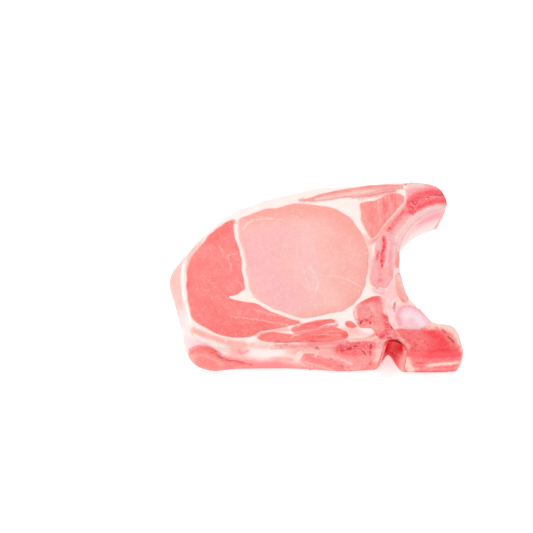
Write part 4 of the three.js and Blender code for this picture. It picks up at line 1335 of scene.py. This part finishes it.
# Strokes through space, with places (x, y, height). The crease runs over the edge muscle, and the heel
# is the back fat at the left end.
CREASE = lens_edge("edge_muscle", 0, 9)
HEEL = [(-83.4, -19.0, 14.0), (-84.8, -8.0, 15.5), (-84.8, 4.0, 15.5), (-79.4, 15.0, 16.0)]
SPACE_STROKES = {
    "fat": {
        "flush": [(1.3, 0.85, CREASE)],
        "rose": [
            (12.0, 0.95, HEEL),
            (8.0, 0.80, HEEL),
            (5.0, 0.60, [(30.3, -19.0, 21.4), (32.3, -19.0, 21.4)]),
            (3.6, 0.60, [(-21.8, -43.0, 21.4), (-20.8, -43.0, 21.4)]),
        ],
    },
    "edge_muscle": {"flush": [(2.0, 1.00, CREASE)]},
    "canal_tissue": {
        # The dark red strokes down the groove's back wall are partly blood and partly painted shade of the
        # deep, narrow groove.
        "blood": [
            (6.4, 1.00, [(33.4, -56.9, 18.0), (32.6, -56.0, 14.0), (32.4, -54.0, 9.0), (33.6, -52.8, 6.0)]),
            (3.6, 1.00, [(30.0, -57.0, 18.0), (31.0, -55.4, 12.0), (31.0, -54.0, 8.0)]),
        ],
        "flush": [(4.0, 0.90, [(36.4, -59.5, 20.0), (37.2, -57.6, 12.0), (37.6, -55.0, 5.0)])],
        "pale": [
            (3.2, 0.85, [(37.0, -62.4, 20.0), (38.6, -61.0, 12.0), (40.0, -61.4, 5.0), (41.0, -62.0, 0.0)]),
            (1.2, 0.60, [(26.6, -62.0, 21.7), (27.6, -59.0, 21.8), (30.0, -57.0, 21.9)]),
        ],
        "skirt": [(6.0, 1.00, [(26.6, -64.0, 20.0), (27.6, -64.0, 5.0), (23.4, -64.0, 0.0)])],
    },
    "vertebral_arch": {
        "skirt": [
            (5.0, 0.90, [(-9.0, -57.5, 22.0), (-10.0, -60.0, 16.0), (-8.0, -60.0, 8.0)]),
            (4.0, 0.60, [(-5.0, -57.0, 22.0), (-4.6, -59.6, 18.0)]),
        ],
    },
    "pleura": {
        "rose": [(4.0, 1.0, [(41.3, 5.0, 16.5), (48.3, 19.0, 16.5), (61.3, 33.0, 16.5), (85.3, 42.0, 16.5)])],
    },
    "rib_bone": {"rose": [(3.0, 0.9, [(48.3, 19.0, 17.5), (61.3, 33.0, 17.5), (85.3, 42.0, 17.5)])]},
}


def dressed(node, places, triangles, quads, seam, on_top):
    """The finished piece of one node, from its skin before any unevenness."""
    fields = stains_of(node, places, on_top)
    fields["seam"] = np.minimum(seam, SEAM_LIMIT)
    fields["height"] = places[:, 2]
    fields["side"] = smoothstep(THICKNESS - places[:, 2], *SIDE_TOP) * smoothstep(places[:, 2], *SIDE_FOOT)
    normals = vertex_normals(places, triangles, quads)
    dent = sum((DENT[stain] * fields[stain] for stain in DENT if stain in fields), np.zeros(len(places)))
    moved = uneven(places - dent[:, None] * normals, normals, ROUGH[FORM_OF[node]])
    mesh = mesh_from(node + "_skin", moved, triangles, quads)
    for name, values in fields.items():
        mesh.attributes.new(name, "FLOAT", "POINT").data.foreach_set("value", values.astype(np.float32))
    fibre = fibre_places(node, places).astype(np.float32)
    mesh.attributes.new("fibre", "FLOAT_VECTOR", "POINT").data.foreach_set("vector", fibre.ravel())
    piece = bpy.data.objects.new(node + "_skin", mesh)
    bpy.context.scene.collection.objects.link(piece)
    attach(piece, "root")
    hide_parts(node)
    return piece


def skin_of(node):
    """Any node's skin: its places, triangles and quads, each point's distance to a seam, and whether it
    is on the upper sheet."""
    if node in LENSES or node == "canal_tissue":
        places, triangles, quads = lens(*LENSES[node]) if node in LENSES else lining()
        return places, triangles, quads, np.full(len(places), NO_SEAM), np.zeros(len(places), bool)
    through = skin(node, FORM_OF[node])
    return with_drops(*through) if node == "fat" else through


PIECES = {}
for node in sorted(TRIANGLES):
    places, triangles, quads, seam, on_top = skin_of(node)
    PIECES[node] = dressed(node, places, triangles, quads, seam, on_top)
    print(node, len(places), "points", len(triangles) + 2 * len(quads), "triangles")

# %% [markdown]
# Every material is built the same way: a base colour, and layers over it. A layer has a colour, a
# strength, and one or more shares that say where it shows: a stain's attribute, clouds, fine threads or
# streaks along the fibres. Sizes are in mm, so a pattern keeps its real size.

# %% Material helpers
PATTERNS = ("clouds", "streaks", "threads")


def linear(colour):
    """The linear RGBA of an sRGB hex colour: c/12.92 up to 0.04045, else ((c + 0.055)/1.055)^2.4."""
    parts = np.array([int(colour[k : k + 2], 16) for k in (1, 3, 5)]) / 255
    parts = np.where(parts <= 0.04045, parts / 12.92, ((parts + 0.055) / 1.055) ** 2.4)
    return (*parts.tolist(), 1.0)


def add(tree, kind, inputs=(), **settings):
    """A new shader node, with its settings, its constant inputs and its links."""
    node = tree.nodes.new(kind)
    for name, value in settings.items():
        setattr(node, name, value)
    for key, value in dict(inputs).items():
        if isinstance(value, bpy.types.NodeSocket):
            tree.links.new(value, node.inputs[key])
        else:
            node.inputs[key].default_value = value
    return node


def between(tree, value, low, high):
    """0 where a value is at low, 1 where it is at high, and a smooth S between them."""
    ends = {"Value": value, 1: low, 2: high, 3: 0.0, 4: 1.0}
    return add(tree, "ShaderNodeMapRange", ends, interpolation_type="SMOOTHSTEP").outputs[0]


def pattern(tree, kind, size, low, high, detail=3.0, length=1.0, shift=0.0):
    """A share that follows a pattern of a size in mm: clouds of noise, threads where the noise passes its
    middle value, or streaks that are longer than wide and run with the fibres."""
    if kind == "streaks":
        place = add(tree, "ShaderNodeAttribute", attribute_name="fibre").outputs["Vector"]
        scale = (1 / (size * length), 1 / (size * length), 1 / size)
    else:
        place = add(tree, "ShaderNodeTexCoord").outputs["Object"]
        scale = (1 / (size * MM),) * 3
    inputs = {0: place, 1: scale, 2: (shift, shift, shift)}
    scaled = add(tree, "ShaderNodeVectorMath", inputs, operation="MULTIPLY_ADD").outputs[0]
    inputs = {"Vector": scaled, "Scale": 1.0, "Detail": detail, "Roughness": 0.55}
    value = add(tree, "ShaderNodeTexNoise", inputs).outputs[0]
    if kind == "threads":
        from_middle = add(tree, "ShaderNodeMath", {0: value, 1: 0.5}, operation="SUBTRACT").outputs[0]
        value = add(tree, "ShaderNodeMath", {0: from_middle}, operation="ABSOLUTE").outputs[0]
    return between(tree, value, low, high)


def stain(tree, name, low=0.05, high=0.95, breakup=0.25, size=0.9):
    """A share from a vertex attribute: 0 at low and 1 at high, with its edge broken up by fine noise."""
    value = add(tree, "ShaderNodeAttribute", attribute_name=name).outputs["Fac"]
    noise = pattern(tree, "clouds", size, 0.2, 0.8, 4.0)
    inputs = {0: noise, 1: breakup, 2: -0.5 * breakup}
    shift = add(tree, "ShaderNodeMath", inputs, operation="MULTIPLY_ADD").outputs[0]
    value = add(tree, "ShaderNodeMath", {0: value, 1: shift}, operation="ADD").outputs[0]
    return between(tree, value, low, high)


def tissue(name, base, layers=(), bumps=(), roughness=0.42, gloss=0.3):
    """A material of layers over a base colour. A layer is (hex colour, strength, shares...), and a share
    is a stain's name or (name or pattern, options). Bumps are (pattern, size, height in mm)."""
    material = bpy.data.materials.new(name)
    material.use_nodes = True
    tree = material.node_tree
    shader = tree.nodes["Principled BSDF"]
    shader.inputs["Base Color"].default_value = linear(base)
    colour = linear(base)
    for tint, strength, *shares in layers:
        total = strength
        for share in shares:
            kind, options = (share, {}) if isinstance(share, str) else share
            made = (pattern if kind in PATTERNS else stain)(tree, kind, **options)
            total = add(tree, "ShaderNodeMath", {0: made, 1: total}, operation="MULTIPLY").outputs[0]
        inputs = {0: total, 6: colour, 7: linear(tint)}
        colour = add(tree, "ShaderNodeMix", inputs, data_type="RGBA").outputs[2]
        tree.links.new(colour, shader.inputs["Base Color"])
    normal = None
    for kind, size, height in bumps:
        inputs = {"Height": pattern(tree, kind, size, 0.0, 1.0, 4.0, 4.0), "Distance": height * MM}
        if normal:
            inputs["Normal"] = normal
        normal = add(tree, "ShaderNodeBump", inputs).outputs[0]
        tree.links.new(normal, shader.inputs["Normal"])
    shader.inputs["Roughness"].default_value = roughness
    shader.inputs["Specular IOR Level"].default_value = gloss
    return material


def clouds(size, low, high, **more):
    """A share of soft clouds."""
    return "clouds", {"size": size, "low": low, "high": high, **more}


def streaks(size, low, high, length=8.0, **more):
    """A share of streaks along the fibres, a number of times longer than wide."""
    return "streaks", {"size": size, "low": low, "high": high, "length": length, **more}


def threads(size, width, **more):
    """A share of fine threads. width is how far the noise may be from its middle value."""
    return "threads", {"size": size, "low": width, "high": 0.0, **more}


# %% [markdown]
# The colours are those of fresh pork in bright, even light: a loin eye of pale pink that deepens towards
# its rim, redder muscles round it, cream fat that turns rosy beside meat, and red marrow in sawn bone.

# %% Muscle and fat
SEAM_EDGE = ("seam", {"low": 1.1, "high": -0.2, "breakup": 0.4, "size": 1.6})
ROSE = "#fcb4bb"
BROWN = "#a8524c"


def pork(base, light, dark, flush, thread, blood, fibres, web):
    """Layers of a muscle: broad clouds, bundles and fine ends of its fibres, a web of fat between them,
    stains and pale seams. fibres and web are how much of each shows."""
    return base, [
        (light, 0.50, clouds(9.0, 0.42, 0.66)),
        (dark, 0.45, clouds(4.0, 0.48, 0.72, shift=5.0)),
        (ROSE, 0.80, "rose"),
        (flush, 0.90, ("flush", {"low": 0.0, "high": 1.0, "breakup": 0.2, "size": 3.0})),
        (light, 0.80 * fibres, streaks(1.5, 0.48, 0.70)),
        (dark, 0.80 * fibres, streaks(1.1, 0.50, 0.72, shift=3.0)),
        (thread, 0.70 * fibres, streaks(0.8, 0.60, 0.74, length=14, shift=7.0), clouds(7.0, 0.45, 0.6)),
        (dark, 0.40, clouds(0.9, 0.50, 0.80)),
        (light, 0.40, clouds(0.7, 0.50, 0.80, shift=2.0)),
        (thread, 0.45 * web, threads(6.0, 0.02, detail=3.0), clouds(7.0, 0.46, 0.62, shift=3.0)),
        (thread, 0.30 * web, threads(2.2, 0.05, detail=1.5, shift=6.0), clouds(3.0, 0.50, 0.66)),
        (thread, 0.40 * web, clouds(1.0, 0.60, 0.72, detail=2.0, shift=9.0)),
        ("#fdd9d0", 0.80, "pale"),
        (thread, 0.90, ("marbling", {"breakup": 0.5, "size": 1.6})),
        (blood, 0.90, "blood"),
        (BROWN, 0.85, "dry"),
        (thread, 0.60, SEAM_EDGE),
    ]


MEAT_BUMPS = [("clouds", 0.8, 0.10), ("streaks", 1.2, 0.12), ("clouds", 3.0, 0.25)]
FAT_BUMPS = [("clouds", 1.2, 0.10), ("clouds", 4.0, 0.25)]
MATERIALS = {
    "loin": tissue("pork loin", *pork(
        "#fdbcb5", "#fec8c1", "#fbaca4", "#fca398", "#fee0d9", "#e8827c", 0.06, 1.0), MEAT_BUMPS),
    "rib meat": tissue("pork rib meat", *pork(
        "#fd9691", "#feaca5", "#fb7b77", "#fb696a", "#fecfc7", "#cf4a50", 0.9, 0.5), MEAT_BUMPS),
    "strip meat": tissue("pork back strip", *pork(
        "#fca5a0", "#fdbeb8", "#f98c88", "#fa817e", "#fedcd5", "#cf4a50", 0.8, 0.5), MEAT_BUMPS),
    "cap meat": tissue("pork cap muscle", *pork(
        "#fd827f", "#fe9792", "#fb6e6e", "#fb6c6a", "#fecbc2", "#cf4a50", 0.45, 0.9), MEAT_BUMPS),
    "deep meat": tissue("pork back muscle", *pork(
        "#fd7d77", "#fe948c", "#fa6866", "#fa585f", "#fec6bc", "#c23a44", 1.0, 0.5), MEAT_BUMPS),
    "fat": tissue("pork fat", "#fdeee8", [
        ("#fdf6f2", 0.7, clouds(6.0, 0.4, 0.65)),
        ("#fcdcd4", 0.5, clouds(3.0, 0.50, 0.75)),
        ("#fdbbb2", 0.80, ("seam", {"low": 1.7, "high": 0.0, "breakup": 0.5, "size": 2.4})),
        ("#fdccc3", 0.70, "side"),
        ("#fbaea6", 0.70, "side", clouds(3.4, 0.52, 0.68)),
        ("#fdefe8", 0.60, "side", streaks(1.6, 0.52, 0.66, shift=4.0)),
        ("#fdaca2", 0.95, "rose"),
        ("#fde0d7", 0.25, "rose", clouds(1.2, 0.52, 0.66, shift=9.0)),
        ("#fdccd4", 0.90, "lilac"),
        # pale: whiter fat, and along the upper left edge a painted highlight.
        ("#feefeb", 0.90, "pale"),
        ("#fd868a", 0.95, "flush"),
        ("#d23a47", 0.90, "blood"),
        (BROWN, 0.90, "dry"),
    ], FAT_BUMPS, roughness=0.46),
    "pleura": tissue("rib lining", "#fdcbc8", [
        ("#feded9", 0.7, clouds(5.0, 0.42, 0.66)),
        ("#fbafb2", 0.5, clouds(2.4, 0.50, 0.75)),
        ("#fde2dd", 0.9, ("height", {"low": 13.0, "high": 8.0, "breakup": 4.0, "size": 6.0})),
        ("#f8a6b6", 1.0, "rose"),
        (BROWN, 0.9, "dry"),
    ], [("clouds", 2.0, 0.15)], roughness=0.38),
}
print("soft tissues", len(MATERIALS))


# %% Bone, marrow and cartilage
def hard(base, light, dark, flush, pale, blood, struts):
    """Layers of bone and cartilage: mottling, struts, stains and patches of open, red-mottled bone.
    struts is how much the struts show."""
    return base, [
        (light, 0.55, clouds(4.0, 0.42, 0.68)),
        (dark, 0.45, clouds(1.8, 0.48, 0.76)),
        (light, 0.60 * struts, streaks(1.4, 0.50, 0.68, length=5)),
        (ROSE, 0.60, "rose"),
        (flush, 0.95, ("flush", {"low": 0.0, "high": 1.0, "breakup": 0.3, "size": 1.6})),
        (dark, 0.70 * struts, "flush", streaks(1.2, 0.50, 0.70, length=6, shift=6.0)),
        (light, 0.50 * struts, "flush", streaks(1.6, 0.52, 0.70, length=6, shift=2.0)),
        (pale, 0.95, ("pale", {"breakup": 0.45, "size": 1.6})),
        (dark, 0.40, clouds(0.8, 0.52, 0.74, shift=4.0)),
        (light, 0.40, clouds(0.7, 0.53, 0.74, shift=8.0)),
        (flush, 0.70, "pits", clouds(2.0, 0.50, 0.66, detail=2.0, shift=1.0)),
        (light, 0.60, "pits", clouds(1.4, 0.52, 0.66, detail=2.0, shift=3.0)),
        (blood, 0.50, "pits", clouds(1.5, 0.60, 0.69, detail=1.5, shift=7.0)),
        (blood, 0.90, ("blood", {"low": 0.0, "high": 0.8, "breakup": 0.35, "size": 0.7})),
        (light, 0.90, "skirt"),
        (BROWN, 0.95, "dry"),
        (light, 0.50, SEAM_EDGE),
    ]


BONE_BUMPS = [("clouds", 0.5, 0.12), ("clouds", 1.8, 0.25)]
MATERIALS.update({
    "bone": tissue("sawn rib bone", *hard(
        "#fdb0b0", "#fec8c4", "#fb9094", "#fd4050", "#fedcd5", "#c9283c", 0.4), BONE_BUMPS),
    "arch": tissue("sawn arch bone", *hard(
        "#fd9491", "#feb2ac", "#fb7476", "#fb4656", "#fed5cd", "#d42438", 0.4), BONE_BUMPS),
    "marrow": tissue("red marrow bone", *hard(
        "#fd7678", "#fe8f8a", "#fb585f", "#fe3646", "#fedccf", "#cc2a3e", 0.8), BONE_BUMPS),
    "cartilage": tissue("joint cartilage", *hard(
        "#fdc3ca", "#fed5dc", "#faa8b2", "#f8909a", "#fde2ec", "#c04850", 0.4),
        [("clouds", 2.0, 0.1)], roughness=0.34),
    "canal": tissue("spinal canal lining", "#fb6468", [
        ("#fd8586", 0.6, clouds(4.0, 0.42, 0.68)),
        ("#fd7476", 0.7, "flush"),
        ("#fd9a98", 0.9, "skirt"),
        ("#fdb4ac", 0.9, "pale"),
        # These two layers paint the groove's back wall deep red: partly blood, partly painted shade of the
        # groove.
        ("#ea0018", 1.0, ("blood", {"low": 0.05, "high": 0.7, "breakup": 0.2, "size": 2.0})),
        ("#c2000c", 0.7, ("blood", {"low": 0.4, "high": 0.9}), clouds(2.2, 0.44, 0.62)),
    ], [("clouds", 1.6, 0.2)], roughness=0.34),
})
WORN = {
    "loin_eye": "loin", "rib_side_muscle": "rib meat", "cap_muscle": "cap meat", "edge_muscle": "cap meat",
    "wall_muscle": "cap meat", "multifidus_upper": "deep meat", "multifidus_lower": "deep meat",
    "rotator_muscle": "deep meat", "back_strip_muscle": "strip meat", "intercostal_upper": "rib meat",
    "intercostal_lower": "strip meat", "fat": "fat", "wall_tendon": "fat", "pleura": "pleura",
    "rib_bone": "bone", "vertebral_arch": "arch", "vertebral_body": "marrow", "spinal_disc": "cartilage",
    "rib_cartilage": "cartilage", "canal_tissue": "canal",
}
for node, piece in PIECES.items():
    piece.data.materials.append(MATERIALS[WORN[node]])
print("materials", len(MATERIALS))

# %% [markdown]
# A wide white floor and an even white sky light the slice from all round, as a light tent does. One
# large soft lamp from the upper left gives the shoulders a gentle shape. The floor glows faintly, as a
# light table does, so that hardly any shadow shows on it.

# %% Floor and light
SKY = 0.80
LAMP_PLACE = Vector((-0.55, 0.45, 0.75))  # m
LAMP_POWER = 3.5  # W
LAMP_SIZE = 0.7  # m across
FLOOR_GLOW = 0.45
FLOOR_HALF = 3.0  # m, half the floor's side


def add_floor():
    """A flat white square under the slice."""
    half = FLOOR_HALF
    mesh = bpy.data.meshes.new("floor")
    corners = [(-half, -half, 0), (half, -half, 0), (half, half, 0), (-half, half, 0)]
    mesh.from_pydata(corners, [], [(0, 1, 2, 3)])
    floor = bpy.data.objects.new("floor", mesh)
    bpy.context.scene.collection.objects.link(floor)
    table = tissue("white light table", "#fbfbfb", roughness=0.6, gloss=0.1)
    glow = table.node_tree.nodes["Principled BSDF"]
    glow.inputs["Emission Color"].default_value = (1, 1, 1, 1)
    glow.inputs["Emission Strength"].default_value = FLOOR_GLOW
    mesh.materials.append(table)


def add_light():
    """The sky, and the lamp, which faces the middle of the slice."""
    world = bpy.data.worlds.new("white tent")
    world.use_nodes = True
    world.node_tree.nodes["Background"].inputs["Color"].default_value = (1, 1, 1, 1)
    world.node_tree.nodes["Background"].inputs["Strength"].default_value = SKY
    bpy.context.scene.world = world
    lamp = bpy.data.lights.new("soft lamp", "AREA")
    lamp.shape = "DISK"
    lamp.size = LAMP_SIZE
    lamp.energy = LAMP_POWER
    holder = bpy.data.objects.new("soft lamp", lamp)
    holder.location = LAMP_PLACE
    holder.rotation_euler = LAMP_PLACE.to_track_quat("Z", "Y").to_euler()
    bpy.context.scene.collection.objects.link(holder)
    bpy.context.scene.view_settings.view_transform = "Standard"


add_floor()
add_light()
print("floor and light added")
